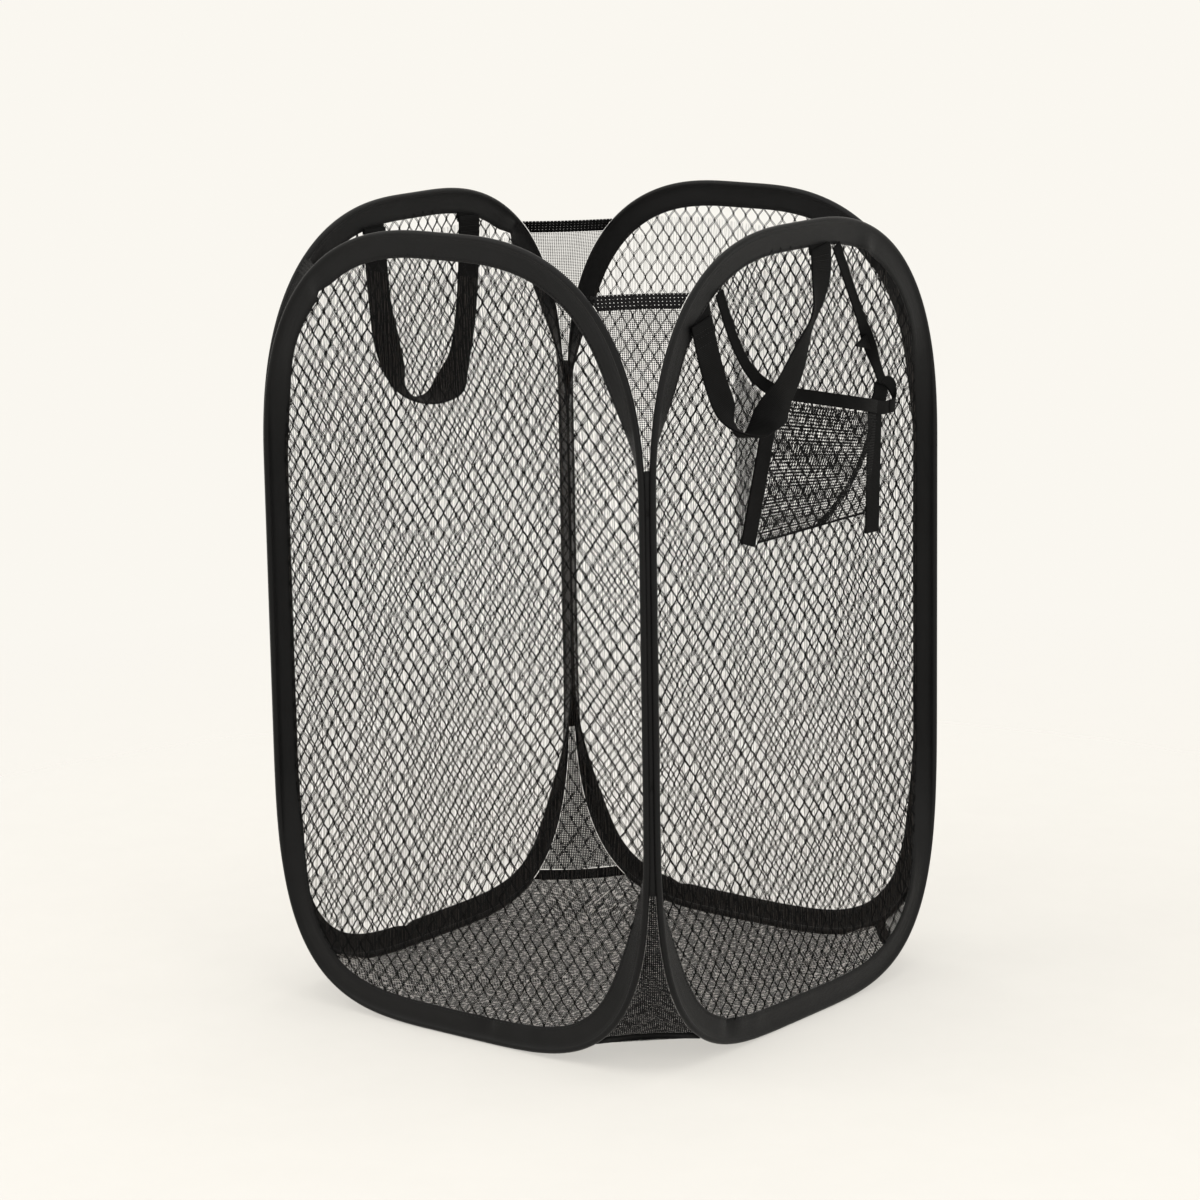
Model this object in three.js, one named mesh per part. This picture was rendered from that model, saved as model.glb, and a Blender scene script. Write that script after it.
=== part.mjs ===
// Pop up laundry hamper: four upright hoops of spring steel wire, each in a folded fabric
// sleeve that frames an open net, sewn together at the corners round a square mesh base.
import * as THREE from 'three';

// Driving dimensions, in millimetres
const HAMPER_HEIGHT = 610;
const HAMPER_WIDTH = 375;
const WIRE_DIAMETER = 2;
const FERRULE_WALL = 0.4;
const FERRULE_LENGTH = 22;
const SLEEVE_FABRIC = 0.55;
const BAND_WIDTH = 20.5;
const CLEARANCE = 0.3;

// Hoop outline
const HOOP_TOP_END_HEIGHT = 190;
const HOOP_BOTTOM_END_HEIGHT = 220;
const HOOP_FLAT_MARGIN = 4;
const HOOP_TOP_POWER_SHARE = 2.45;
const HOOP_BOTTOM_POWER_SHARE = 3.5;
const STEPS_PER_QUARTER = 9;
const RIDGE_STEPS = 4;
const CHANNEL_STEPS = 5;
const WIRE_SIDES = 6;
const FERRULE_SIDES = 8;

// Net of each side panel
const NET_THICKNESS = 0.8;
const NET_TUCK = 6;
const NET_STRAND = 3.4;
const NET_CELL_WIDTH = 68;
const NET_CELL_HEIGHT = 92;
const NET_MARGIN = 1.5;
const NET_SMALLEST_GAP = 16;
const NET_TIP_SHARE = 0.97;

// Fine mesh in the corners and its sewn edges
const MESH_THICKNESS = 0.8;
const UPPER_HEM_DROP = 48;
const UPPER_HEM_HEIGHT = 9;
const LOWER_HEM_Z = 27;
const LOWER_TAPE_HEIGHT = 6;
const HEM_THICKNESS = 1.3;
const CORNER_SEAM_THICKNESS = 1.2;

// Base
const BASE_THICKNESS = 0.8;
const BASE_FLAT_SHARE = 0.6;
const BASE_SIDE_STEPS = 8;

// Carrying handles
const WEBBING_WIDTH = 25;
const WEBBING_THICKNESS = 1.4;
const HANDLE_ROOT_DEPTH = 2.6;
const HANDLE_STEPS = 44;
const RIGHT_HANDLE = {
  from: -123,
  to: 18,
  drop: 100,
  skew: -58,
  depth: 21,
  legPowerShare: 1.85,
  turnStartShares: [0.71, 0.94],
  quarterTurnShare: 1.2,
};
const LEFT_HANDLE = {
  from: -63,
  to: 51,
  drop: 133.5,
  skew: 12,
  depth: 17.5,
  legPowerShare: 0.52,
  turnStartShares: [0.88, 0.88],
  quarterTurnShare: 0.95,
};

// Pocket on the right panel
const POCKET_LEFT_U = -34;
const POCKET_RIGHT_U = 96;
const POCKET_LEFT_FOOT_U = -69;
const POCKET_RIGHT_FOOT_U = 92;
const POCKET_BOTTOM_DROP = 230;
const POCKET_RIM_LEFT_DROP = 121;
const POCKET_RIM_RIGHT_DROP = 151;
const POCKET_MOUTH_DEPTH = 17;
const POCKET_ROOT_DEPTH = 2.2;
const POCKET_TAPE_WIDTH = 10;
const POCKET_TAPE_THICKNESS = 1.2;
const POCKET_BINDING_WIDTH = 18;
const POCKET_BINDING_TAIL = 17;
const POCKET_BINDING_DROP = 5.5;
const POCKET_LEAN_ROOM = 0.7;
const POCKET_STRAP_LEFT_U = -101;
const POCKET_STRAP_RIGHT_U = 45;
const POCKET_TURN_RADIUS = 13;
const POCKET_SIDE_WIDTH = 3;
const POCKET_SIDE_DROP = 10.7;
const POCKET_SIDE_STEPS = 4;
const POCKET_SIDE_FIRST_SHARE = 0.3;
const POCKET_SIDE_LAST_SHARE = 0.84;
const POCKET_SLACK_SHARE = 0.24;
const POCKET_SKEW_POWER_SHARE = 1.25;
const POCKET_FULLNESS_POWER_SHARE = 0.8;
const POCKET_TURN_SHARE = 0.62;
const POCKET_SAG_SIDE_SHARE = 0.33;
const POCKET_STRAP_STEPS = 6;
const POCKET_RIM_STEPS = 12;
const POCKET_TURN_STEPS = 5;
const POCKET_MESH_ROWS = 5;
const POCKET_MESH_COLUMNS = 10;

// Sizes that follow from the driving dimensions
const WIRE_RADIUS = WIRE_DIAMETER / 2;
const FERRULE_BORE = WIRE_RADIUS + CLEARANCE;
const FERRULE_RADIUS = FERRULE_BORE + FERRULE_WALL;
const CHANNEL_RADIUS = FERRULE_RADIUS + CLEARANCE;
const RIDGE_RADIUS = CHANNEL_RADIUS + SLEEVE_FABRIC;
const SLIT_HALF = NET_THICKNESS / 2 + CLEARANCE;
const TAIL_HALF = SLIT_HALF + SLEEVE_FABRIC;
const TAIL_END = BAND_WIDTH - RIDGE_RADIUS;
const PANEL_OFFSET = HAMPER_WIDTH / 2 - RIDGE_RADIUS;
const HINGE_OFFSET = PANEL_OFFSET - RIDGE_RADIUS;
const HOOP_HALF_WIDTH = HINGE_OFFSET - CLEARANCE - RIDGE_RADIUS;
const HOOP_FLAT_HALF = FERRULE_LENGTH / 2 + HOOP_FLAT_MARGIN;
const HOOP_BOTTOM_Z = RIDGE_RADIUS;
const HOOP_TOP_Z = HAMPER_HEIGHT - RIDGE_RADIUS;
const UPPER_HEM_Z = HAMPER_HEIGHT - UPPER_HEM_DROP;
const POCKET_BOTTOM_Z = HAMPER_HEIGHT - POCKET_BOTTOM_DROP;
const POCKET_RIM_LEFT_Z = HAMPER_HEIGHT - POCKET_RIM_LEFT_DROP;
const POCKET_RIM_RIGHT_Z = HAMPER_HEIGHT - POCKET_RIM_RIGHT_DROP;
const POCKET_INSET = POCKET_BINDING_WIDTH / 2 + CLEARANCE + POCKET_LEAN_ROOM;

// Materials
function finish(name, color, roughness, metalness) {
  return () => new THREE.MeshStandardMaterial({ name, color, roughness, metalness });
}
const springSteel = finish('spring_steel', 0x8c8f93, 0.35, 1);
const satin = finish('satin_sleeve', 0x1b1b1c, 0.5, 0);
const netting = finish('netting', 0x2a2a2b, 0.8, 0);
const fineMesh = finish('fine_mesh', 0x3a3a3b, 0.85, 0);
const webbing = finish('webbing', 0x141415, 0.75, 0);
const thread = finish('thread', 0x101011, 0.7, 0);

// Makes a closed mesh's faces point outwards, judged by its signed volume
function closedGeometry(points, faces) {
  let volume = 0;
  for (const [a, b, c] of faces) {
    volume += points[a].dot(new THREE.Vector3().crossVectors(points[b], points[c]));
  }
  const ordered = volume < 0 ? faces.map(([a, b, c]) => [a, c, b]) : faces;
  const geometry = new THREE.BufferGeometry().setFromPoints(points);
  geometry.setIndex(ordered.flat());
  geometry.computeVertexNormals();
  return geometry;
}

// Sweeps a section through rings; an open sweep is closed by a cap at each end
function sweep(rings, isLoop) {
  const count = rings[0].length;
  const faces = [];
  const last = isLoop ? rings.length : rings.length - 1;
  for (let i = 0; i < last; i += 1) {
    const here = i * count;
    const next = ((i + 1) % rings.length) * count;
    for (let j = 0; j < count; j += 1) {
      const k = (j + 1) % count;
      faces.push([here + j, here + k, next + k]);
      faces.push([here + j, next + k, next + j]);
    }
  }
  if (!isLoop) {
    const end = (rings.length - 1) * count;
    for (let j = 1; j < count - 1; j += 1) {
      faces.push([0, j + 1, j]);
      faces.push([end, end + j, end + j + 1]);
    }
  }
  return closedGeometry(rings.flat(), faces);
}

// Turns a grid of points into a sheet of even thickness
function sheet(rows, thickness) {
  const width = rows[0].length;
  const at = (i, j) => {
    const row = rows[THREE.MathUtils.clamp(i, 0, rows.length - 1)];
    return row[THREE.MathUtils.clamp(j, 0, width - 1)];
  };
  const front = [];
  const back = [];
  rows.forEach((row, i) => row.forEach((point, j) => {
    const along = at(i, j + 1).clone().sub(at(i, j - 1));
    const across = at(i + 1, j).clone().sub(at(i - 1, j));
    const normal = along.cross(across).normalize().multiplyScalar(thickness / 2);
    front.push(point.clone().add(normal));
    back.push(point.clone().sub(normal));
  }));
  const faces = [];
  const total = front.length;
  for (let i = 0; i < rows.length - 1; i += 1) {
    for (let j = 0; j < width - 1; j += 1) {
      const a = i * width + j;
      const b = a + 1;
      const c = a + width;
      const d = c + 1;
      faces.push([a, b, d], [a, d, c]);
      faces.push([total + a, total + d, total + b], [total + a, total + c, total + d]);
    }
  }
  const rim = [];
  for (let j = 0; j < width - 1; j += 1) {
    rim.push(j);
  }
  for (let i = 0; i < rows.length - 1; i += 1) {
    rim.push(i * width + width - 1);
  }
  for (let j = width - 1; j > 0; j -= 1) {
    rim.push((rows.length - 1) * width + j);
  }
  for (let i = rows.length - 1; i > 0; i -= 1) {
    rim.push(i * width);
  }
  rim.forEach((a, k) => {
    const b = rim[(k + 1) % rim.length];
    faces.push([a, total + b, b], [a, total + a, total + b]);
  });
  return closedGeometry([...front, ...back], faces);
}

// The wire's centre line in a panel: u runs along the panel, z is up, and n is the inward
// normal, lengthened at each corner of the outline so that offsets stay parallel
function hoopQuarter(endHeight, powerShare) {
  const reach = HOOP_HALF_WIDTH - HOOP_FLAT_HALF;
  const rise = endHeight - RIDGE_RADIUS;
  const quarter = [];
  for (let k = 0; k <= STEPS_PER_QUARTER; k += 1) {
    const angle = (k / STEPS_PER_QUARTER) * Math.PI / 2;
    const u = HOOP_FLAT_HALF + reach * Math.sin(angle) ** (2 / powerShare);
    const z = rise * (1 - Math.abs(Math.cos(angle)) ** (2 / powerShare));
    quarter.push({ u, z: k === STEPS_PER_QUARTER ? rise : z });
  }
  return quarter;
}

function hoopStations() {
  const bottom = hoopQuarter(HOOP_BOTTOM_END_HEIGHT, HOOP_BOTTOM_POWER_SHARE)
    .map(({ u, z }) => ({ u, z: HOOP_BOTTOM_Z + z }));
  const top = hoopQuarter(HOOP_TOP_END_HEIGHT, HOOP_TOP_POWER_SHARE)
    .map(({ u, z }) => ({ u, z: HOOP_TOP_Z - z }));
  const right = [...bottom, ...[...top].reverse()];
  const left = [...right].reverse().map(({ u, z }) => ({ u: -u, z }));
  const loop = [...right, ...left];
  return loop.map((station, i) => {
    const before = loop[(i + loop.length - 1) % loop.length];
    const after = loop[(i + 1) % loop.length];
    const n1 = new THREE.Vector2(before.z - station.z, station.u - before.u).normalize();
    const n2 = new THREE.Vector2(station.z - after.z, after.u - station.u).normalize();
    const n = n1.clone().add(n2).normalize();
    n.divideScalar(n.dot(n1));
    return { u: station.u, z: station.z, n };
  });
}
const HOOP = hoopStations();
const HOOP_RIGHT_SIDE = HOOP.slice(0, HOOP.length / 2);

// A point of the panel: u along it, depth outwards from the wire's plane, z up
function panelPoint(u, depth, z) {
  return new THREE.Vector3(u, -depth, z);
}

function ringAt(station, section) {
  return section.map(([inward, depth]) => (
    panelPoint(station.u + station.n.x * inward, depth, station.z + station.n.y * inward)));
}

// Finds the wire's place on the right-hand side of a hoop at a height
function wireAtHeight(z) {
  const side = HOOP_RIGHT_SIDE;
  let i = 0;
  while (i < side.length - 2 && side[i + 1].z < z) {
    i += 1;
  }
  const share = (z - side[i].z) / (side[i + 1].z - side[i].z);
  return {
    u: THREE.MathUtils.lerp(side[i].u, side[i + 1].u, share),
    z,
    n: side[i].n.clone().lerp(side[i + 1].n, share),
  };
}

// Height of the wire above a place along the bottom of a hoop
function bottomHeightAt(u) {
  const side = HOOP_RIGHT_SIDE;
  const place = Math.max(Math.abs(u), side[0].u);
  let i = 0;
  while (side[i + 1].u < place) {
    i += 1;
  }
  const share = (place - side[i].u) / (side[i + 1].u - side[i].u);
  return THREE.MathUtils.lerp(side[i].z, side[i + 1].z, share);
}

// Height of the band's inner edge at a place along the top of a hoop
function bandEdgeAt(u) {
  const edge = HOOP_RIGHT_SIDE.slice(STEPS_PER_QUARTER + 1).map(({ u: su, z, n }) => (
    new THREE.Vector2(su + n.x * TAIL_END, z + n.y * TAIL_END)));
  const place = Math.max(Math.abs(u), edge[edge.length - 1].x);
  let i = 0;
  while (i < edge.length - 2 && edge[i + 1].x > place) {
    i += 1;
  }
  const share = (place - edge[i].x) / (edge[i + 1].x - edge[i].x);
  return THREE.MathUtils.lerp(edge[i].y, edge[i + 1].y, share);
}

// Sleeve: one strip of fabric folded round the wire, its two layers meeting the net
function arc(radius, firstAngle, lastAngle, steps) {
  const points = [];
  for (let k = 0; k <= steps; k += 1) {
    const angle = THREE.MathUtils.lerp(firstAngle, lastAngle, k / steps);
    points.push([radius * Math.cos(angle), radius * Math.sin(angle)]);
  }
  return points;
}

function sleeveSection() {
  const outerAngle = Math.asin(TAIL_HALF / RIDGE_RADIUS);
  const innerAngle = Math.asin(SLIT_HALF / CHANNEL_RADIUS);
  const fullTurn = 2 * Math.PI;
  return [
    [TAIL_END, TAIL_HALF],
    ...arc(RIDGE_RADIUS, outerAngle, fullTurn - outerAngle, RIDGE_STEPS),
    [TAIL_END, -TAIL_HALF],
    [TAIL_END, -SLIT_HALF],
    ...arc(CHANNEL_RADIUS, fullTurn - innerAngle, innerAngle, CHANNEL_STEPS),
    [TAIL_END, SLIT_HALF],
  ];
}

function sleeveGeometry() {
  const section = sleeveSection();
  return sweep(HOOP.map((station) => ringAt(station, section)), true);
}

// Wire: a loop whose two ends meet in the ferrule at the bottom
function wireGeometry() {
  const section = arc(WIRE_RADIUS, 0, 2 * Math.PI, WIRE_SIDES).slice(1);
  const up = new THREE.Vector2(0, 1);
  const start = { u: CLEARANCE, z: HOOP_BOTTOM_Z, n: up };
  const end = { u: -CLEARANCE, z: HOOP_BOTTOM_Z, n: up };
  return sweep([start, ...HOOP, end].map((station) => ringAt(station, section)), false);
}

function ferruleGeometry() {
  const half = FERRULE_LENGTH / 2;
  const corners = [
    [FERRULE_BORE, -half],
    [FERRULE_RADIUS, -half],
    [FERRULE_RADIUS, half],
    [FERRULE_BORE, half],
    [FERRULE_BORE, -half],
  ];
  const profile = corners.map(([r, y]) => new THREE.Vector2(r, y));
  return new THREE.LatheGeometry(profile, FERRULE_SIDES)
    .rotateZ(Math.PI / 2)
    .translate(0, 0, HOOP_BOTTOM_Z);
}

// Net: a flat sheet tucked between the sleeve's layers, with staggered diamond gaps
function insetOutline(inset) {
  return HOOP.map(({ u, z, n }) => new THREE.Vector2(u + n.x * inset, z + n.y * inset));
}

function polygonArea(points) {
  return Math.abs(THREE.ShapeUtils.area(points));
}

// Keeps the part of a convex shape that lies inside a convex outline
function clipToOutline(shape, outline) {
  let kept = shape;
  outline.forEach((a, i) => {
    const b = outline[(i + 1) % outline.length];
    const side = (p) => (b.x - a.x) * (p.y - a.y) - (b.y - a.y) * (p.x - a.x);
    const next = [];
    kept.forEach((p, j) => {
      const q = kept[(j + 1) % kept.length];
      const sp = side(p);
      const sq = side(q);
      if (sp >= 0) {
        next.push(p);
      }
      if (sp * sq < 0) {
        next.push(p.clone().lerp(q, sp / (sp - sq)));
      }
    });
    kept = next;
  });
  return kept;
}

function netGeometry() {
  const shape = new THREE.Shape(insetOutline(TAIL_END - NET_TUCK));
  const window = insetOutline(TAIL_END + NET_MARGIN);
  const slant = Math.hypot(NET_CELL_WIDTH, NET_CELL_HEIGHT);
  const halfWidth = NET_CELL_WIDTH / 2 - NET_STRAND * slant / NET_CELL_HEIGHT / 2;
  const tipHeight = NET_CELL_HEIGHT / 2 - NET_STRAND * slant / NET_CELL_WIDTH / 2;
  const halfHeight = tipHeight * NET_TIP_SHARE;
  const columns = Math.ceil(HAMPER_WIDTH / NET_CELL_WIDTH);
  const rows = Math.ceil(HAMPER_HEIGHT / NET_CELL_HEIGHT) * 2;
  for (let row = -rows; row <= rows; row += 1) {
    for (let column = -columns; column <= columns; column += 1) {
      const stagger = Math.abs(row % 2) / 2;
      const x = (column + stagger) * NET_CELL_WIDTH;
      const y = HAMPER_HEIGHT / 2 + row * NET_CELL_HEIGHT / 2;
      const diamond = [[halfWidth, 0], [0, halfHeight], [-halfWidth, 0], [0, -halfHeight]]
        .map(([dx, dy]) => new THREE.Vector2(x + dx, y + dy));
      const gap = clipToOutline(diamond, window);
      if (gap.length > 2 && polygonArea(gap) > NET_SMALLEST_GAP ** 2) {
        shape.holes.push(new THREE.Path(gap));
      }
    }
  }
  const geometry = new THREE.ExtrudeGeometry(shape, { depth: NET_THICKNESS, bevelEnabled: false });
  return geometry.rotateX(Math.PI / 2).translate(0, NET_THICKNESS / 2, 0);
}

// Corner pieces, drawn at the corner of the front and right panels. Their edges leave each
// ridge halfway between the panel's own plane and the inside of the hamper.
function cornerEdge(z, thickness) {
  const wire = wireAtHeight(z);
  const outward = new THREE.Vector3(-wire.n.x, 0, -wire.n.y).normalize();
  const away = outward.add(new THREE.Vector3(0, 1, 0)).normalize();
  const seat = RIDGE_RADIUS + CLEARANCE + thickness / 2;
  return new THREE.Vector3(wire.u, -PANEL_OFFSET, wire.z).addScaledVector(away, seat);
}

function cornerSheet(firstZ, lastZ, thickness) {
  const between = HOOP_RIGHT_SIDE.map(({ z }) => z).filter((z) => z > firstZ && z < lastZ);
  const rows = [firstZ, ...between, lastZ].map((z) => {
    const a = cornerEdge(z, thickness);
    const b = new THREE.Vector3(-a.y, -a.x, a.z);
    return [a, a.clone().lerp(b, 0.5), b];
  });
  return sheet(rows, thickness);
}

const STRAIGHT_BOTTOM_Z = HOOP_BOTTOM_END_HEIGHT;
const STRAIGHT_TOP_Z = HAMPER_HEIGHT - HOOP_TOP_END_HEIGHT;
const SEAM_GAP = 2 * CLEARANCE;
const UPPER_HEM_TOP = UPPER_HEM_Z + UPPER_HEM_HEIGHT;
const LOWER_TAPE_TOP = LOWER_HEM_Z - SEAM_GAP;
const LOWER_TAPE_BOTTOM = LOWER_TAPE_TOP - LOWER_TAPE_HEIGHT;

function cornerSeamGeometry() {
  const across = Math.SQRT2 * (PANEL_OFFSET - HOOP_HALF_WIDTH);
  const width = across - 2 * (RIDGE_RADIUS + CLEARANCE);
  const height = STRAIGHT_TOP_Z - STRAIGHT_BOTTOM_Z - SEAM_GAP;
  const middle = (PANEL_OFFSET + HOOP_HALF_WIDTH) / 2;
  return new THREE.BoxGeometry(width, CORNER_SEAM_THICKNESS, height)
    .rotateZ(Math.PI / 4)
    .translate(middle, -middle, (STRAIGHT_BOTTOM_Z + STRAIGHT_TOP_Z) / 2);
}

// Base: flat in the middle, its edge rising with the hoops towards the cut corners
const BASE_REACH = PANEL_OFFSET - RIDGE_RADIUS - CLEARANCE;
const BASE_CUT_U = wireAtHeight(LOWER_TAPE_BOTTOM).u;

function baseGeometry() {
  const edge = [];
  for (let side = 0; side < 4; side += 1) {
    for (let k = 0; k <= BASE_SIDE_STEPS; k += 1) {
      const u = BASE_CUT_U * (2 * k / BASE_SIDE_STEPS - 1);
      const z = bottomHeightAt(u) - RIDGE_RADIUS + BASE_THICKNESS / 2;
      const point = new THREE.Vector3(u, -BASE_REACH, z);
      edge.push(point.applyAxisAngle(new THREE.Vector3(0, 0, 1), side * Math.PI / 2));
    }
  }
  const flat = edge.map((p) => (
    new THREE.Vector3(p.x * BASE_FLAT_SHARE, p.y * BASE_FLAT_SHARE, BASE_THICKNESS / 2)));
  const lift = new THREE.Vector3(0, 0, BASE_THICKNESS / 2);
  const points = [];
  for (const loop of [edge, flat]) {
    points.push(...loop.map((p) => p.clone().add(lift)));
  }
  for (const loop of [edge, flat]) {
    points.push(...loop.map((p) => p.clone().sub(lift)));
  }
  const count = edge.length;
  const faces = [];
  const flatOutline = flat.map((p) => new THREE.Vector2(p.x, p.y));
  const middle = THREE.ShapeUtils.triangulateShape(flatOutline, []);
  for (const [a, b, c] of middle) {
    faces.push([count + a, count + b, count + c]);
    faces.push([3 * count + a, 3 * count + c, 3 * count + b]);
  }
  for (let i = 0; i < count; i += 1) {
    const j = (i + 1) % count;
    faces.push([i, j, count + j], [i, count + j, count + i]);
    faces.push([2 * count + i, 3 * count + j, 2 * count + j]);
    faces.push([2 * count + i, 3 * count + i, 3 * count + j]);
    faces.push([i, 2 * count + j, j], [i, 2 * count + i, 2 * count + j]);
  }
  return closedGeometry(points, faces);
}

// A flat strap along stations of { point, turn }. At turn 0 its width lies in the panel's
// plane, and at a quarter turn it stands out from the panel.
function strap(stations, width, thickness) {
  const outward = new THREE.Vector3(0, -1, 0);
  const rings = stations.map(({ point, turn }, i) => {
    const before = stations[Math.max(i - 1, 0)].point;
    const after = stations[Math.min(i + 1, stations.length - 1)].point;
    const tangent = after.clone().sub(before).normalize();
    const flatSide = new THREE.Vector3().crossVectors(tangent, outward).normalize();
    const standing = new THREE.Vector3().crossVectors(flatSide, tangent).normalize();
    const across = flatSide
      .multiplyScalar(Math.cos(turn))
      .addScaledVector(standing, Math.sin(turn));
    const normal = new THREE.Vector3().crossVectors(tangent, across).normalize();
    return [[1, 1], [-1, 1], [-1, -1], [1, -1]].map(([side, face]) => (
      point.clone()
        .addScaledVector(across, side * width / 2)
        .addScaledVector(normal, face * thickness / 2)));
  });
  return sweep(rings, false);
}

// Handle: webbing that hangs as a U from the band's inner edge, turned on edge at the bottom
function handleEnds({ from, to }) {
  const a = new THREE.Vector3(from, 0, bandEdgeAt(from) - CLEARANCE);
  const b = new THREE.Vector3(to, 0, bandEdgeAt(to) - CLEARANCE);
  return { a, b };
}

function handleGeometry(handle, outside) {
  const { a, b } = handleEnds(handle);
  const along = b.clone().sub(a).normalize();
  const down = new THREE.Vector3(along.z, 0, -along.x);
  const outward = new THREE.Vector3(0, -outside, 0);
  const half = a.distanceTo(b) / 2;
  const middle = a.clone().lerp(b, 0.5);
  const stations = [];
  for (let k = 0; k <= HANDLE_STEPS; k += 1) {
    const angle = Math.PI * k / HANDLE_STEPS;
    const c = Math.cos(angle);
    const s = Math.sin(angle);
    const swing = s * s;
    const spread = half * Math.sign(c) * Math.abs(c) ** handle.legPowerShare;
    const depth = THREE.MathUtils.lerp(HANDLE_ROOT_DEPTH, handle.depth, swing);
    const point = middle.clone()
      .addScaledVector(along, handle.skew * swing - spread)
      .addScaledVector(down, handle.drop * s)
      .addScaledVector(outward, depth);
    const start = handle.turnStartShares[c > 0 ? 0 : 1];
    const twist = THREE.MathUtils.smoothstep(s, start, 1) * handle.quarterTurnShare;
    stations.push({ point, turn: outside * twist * Math.PI / 2 });
  }
  return strap(stations, WEBBING_WIDTH, WEBBING_THICKNESS);
}

// Pocket: places across its mouth are shares from the left binding to the right one
function pocketRim(share) {
  const u = THREE.MathUtils.lerp(POCKET_LEFT_U, POCKET_RIGHT_U, share);
  const open = Math.max(share - POCKET_SLACK_SHARE, 0) / (1 - POCKET_SLACK_SHARE);
  const wave = Math.sin(Math.PI * open ** POCKET_SKEW_POWER_SHARE);
  const fullness = Math.max(wave, 0) ** POCKET_FULLNESS_POWER_SHARE;
  const depth = POCKET_ROOT_DEPTH + POCKET_MOUTH_DEPTH * fullness;
  const z = THREE.MathUtils.lerp(POCKET_RIM_LEFT_Z, POCKET_RIM_RIGHT_Z, share);
  return panelPoint(u, depth, z);
}

// The pocket is wider at its foot than at its rim, and its sides lean between the two
function pocketSideU(share, z) {
  const rim = pocketRim(share);
  const foot = THREE.MathUtils.lerp(POCKET_LEFT_FOOT_U, POCKET_RIGHT_FOOT_U, share);
  return THREE.MathUtils.lerp(foot, rim.x, (z - POCKET_BOTTOM_Z) / (rim.z - POCKET_BOTTOM_Z));
}

// Where a strap of the pocket leaves the band's inner edge
function pocketStrapRoot(u) {
  return panelPoint(u, POCKET_ROOT_DEPTH, bandEdgeAt(u) - CLEARANCE);
}

// The left strap sags from its root to the rim
function pocketLeftStrap(share) {
  const sag = Math.sin(Math.PI * share) * POCKET_TURN_RADIUS;
  const offset = new THREE.Vector3(-sag * POCKET_SAG_SIDE_SHARE, 0, -sag);
  return pocketStrapRoot(POCKET_STRAP_LEFT_U).lerp(pocketRim(0), share).add(offset);
}

function pocketTapeStations() {
  const right = pocketStrapRoot(POCKET_STRAP_RIGHT_U);
  const points = [];
  for (let k = 0; k < POCKET_STRAP_STEPS; k += 1) {
    points.push(pocketLeftStrap(k / POCKET_STRAP_STEPS));
  }
  for (let k = 0; k <= POCKET_RIM_STEPS; k += 1) {
    points.push(pocketRim(k / POCKET_RIM_STEPS));
  }
  const turnCentre = pocketRim(1).add(new THREE.Vector3(0, 0, POCKET_TURN_RADIUS));
  for (let k = 1; k <= POCKET_TURN_STEPS; k += 1) {
    const angle = (k / POCKET_TURN_STEPS) * Math.PI * POCKET_TURN_SHARE - Math.PI / 2;
    const spoke = new THREE.Vector3(Math.cos(angle), 0, Math.sin(angle));
    points.push(turnCentre.clone().addScaledVector(spoke, POCKET_TURN_RADIUS));
  }
  const top = points[points.length - 1];
  for (let k = 1; k <= POCKET_STRAP_STEPS; k += 1) {
    points.push(top.clone().lerp(right, k / POCKET_STRAP_STEPS));
  }
  return points.map((point) => ({ point, turn: 0 }));
}

function pocketFrontGeometry() {
  const below = new THREE.Vector3(0, 0, -(POCKET_TAPE_WIDTH / 2 + POCKET_LEAN_ROOM));
  const insetShare = POCKET_INSET / (POCKET_RIGHT_U - POCKET_LEFT_U);
  const rows = [];
  for (let i = 0; i <= POCKET_MESH_ROWS; i += 1) {
    const rise = i / POCKET_MESH_ROWS;
    const row = [];
    for (let j = 0; j <= POCKET_MESH_COLUMNS; j += 1) {
      const across = j / POCKET_MESH_COLUMNS;
      const share = THREE.MathUtils.lerp(insetShare, 1 - insetShare, across);
      const rim = pocketRim(share).add(below);
      const depth = THREE.MathUtils.lerp(-POCKET_ROOT_DEPTH, rim.y, Math.sin(rise * Math.PI / 2));
      const z = THREE.MathUtils.lerp(POCKET_BOTTOM_Z, rim.z, rise);
      row.push(new THREE.Vector3(pocketSideU(share, z), depth, z));
    }
    rows.push(row);
  }
  return sheet(rows, MESH_THICKNESS);
}

function pocketSideGeometry() {
  const footRight = POCKET_LEFT_FOOT_U - POCKET_INSET;
  const rows = [];
  for (let i = 0; i <= POCKET_STRAP_STEPS; i += 1) {
    const rise = i / POCKET_STRAP_STEPS;
    const row = [];
    for (let j = 0; j <= POCKET_SIDE_STEPS; j += 1) {
      const across = j / POCKET_SIDE_STEPS;
      const share = THREE.MathUtils.lerp(POCKET_SIDE_FIRST_SHARE, POCKET_SIDE_LAST_SHARE, across);
      const top = pocketLeftStrap(share);
      const footU = footRight - POCKET_SIDE_WIDTH * (1 - across);
      const foot = panelPoint(footU, POCKET_ROOT_DEPTH, POCKET_BOTTOM_Z);
      top.z -= POCKET_SIDE_DROP;
      row.push(foot.lerp(top, rise));
    }
    rows.push(row);
  }
  return sheet(rows, MESH_THICKNESS);
}

function pocketBindingGeometry(share, tail) {
  const below = new THREE.Vector3(0, 0, -POCKET_BINDING_DROP);
  const top = pocketRim(share).add(below);
  const bottomZ = POCKET_BOTTOM_Z - tail;
  const stations = [];
  for (let k = 0; k <= POCKET_STRAP_STEPS; k += 1) {
    const rise = k / POCKET_STRAP_STEPS;
    const y = THREE.MathUtils.lerp(-POCKET_ROOT_DEPTH, top.y, rise * rise);
    const z = THREE.MathUtils.lerp(bottomZ, top.z, rise);
    stations.push({ point: new THREE.Vector3(pocketSideU(share, z), y, z), turn: 0 });
  }
  return strap(stations, POCKET_BINDING_WIDTH, POCKET_TAPE_THICKNESS);
}

// Assembly
const hamper = new THREE.Group();

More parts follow.
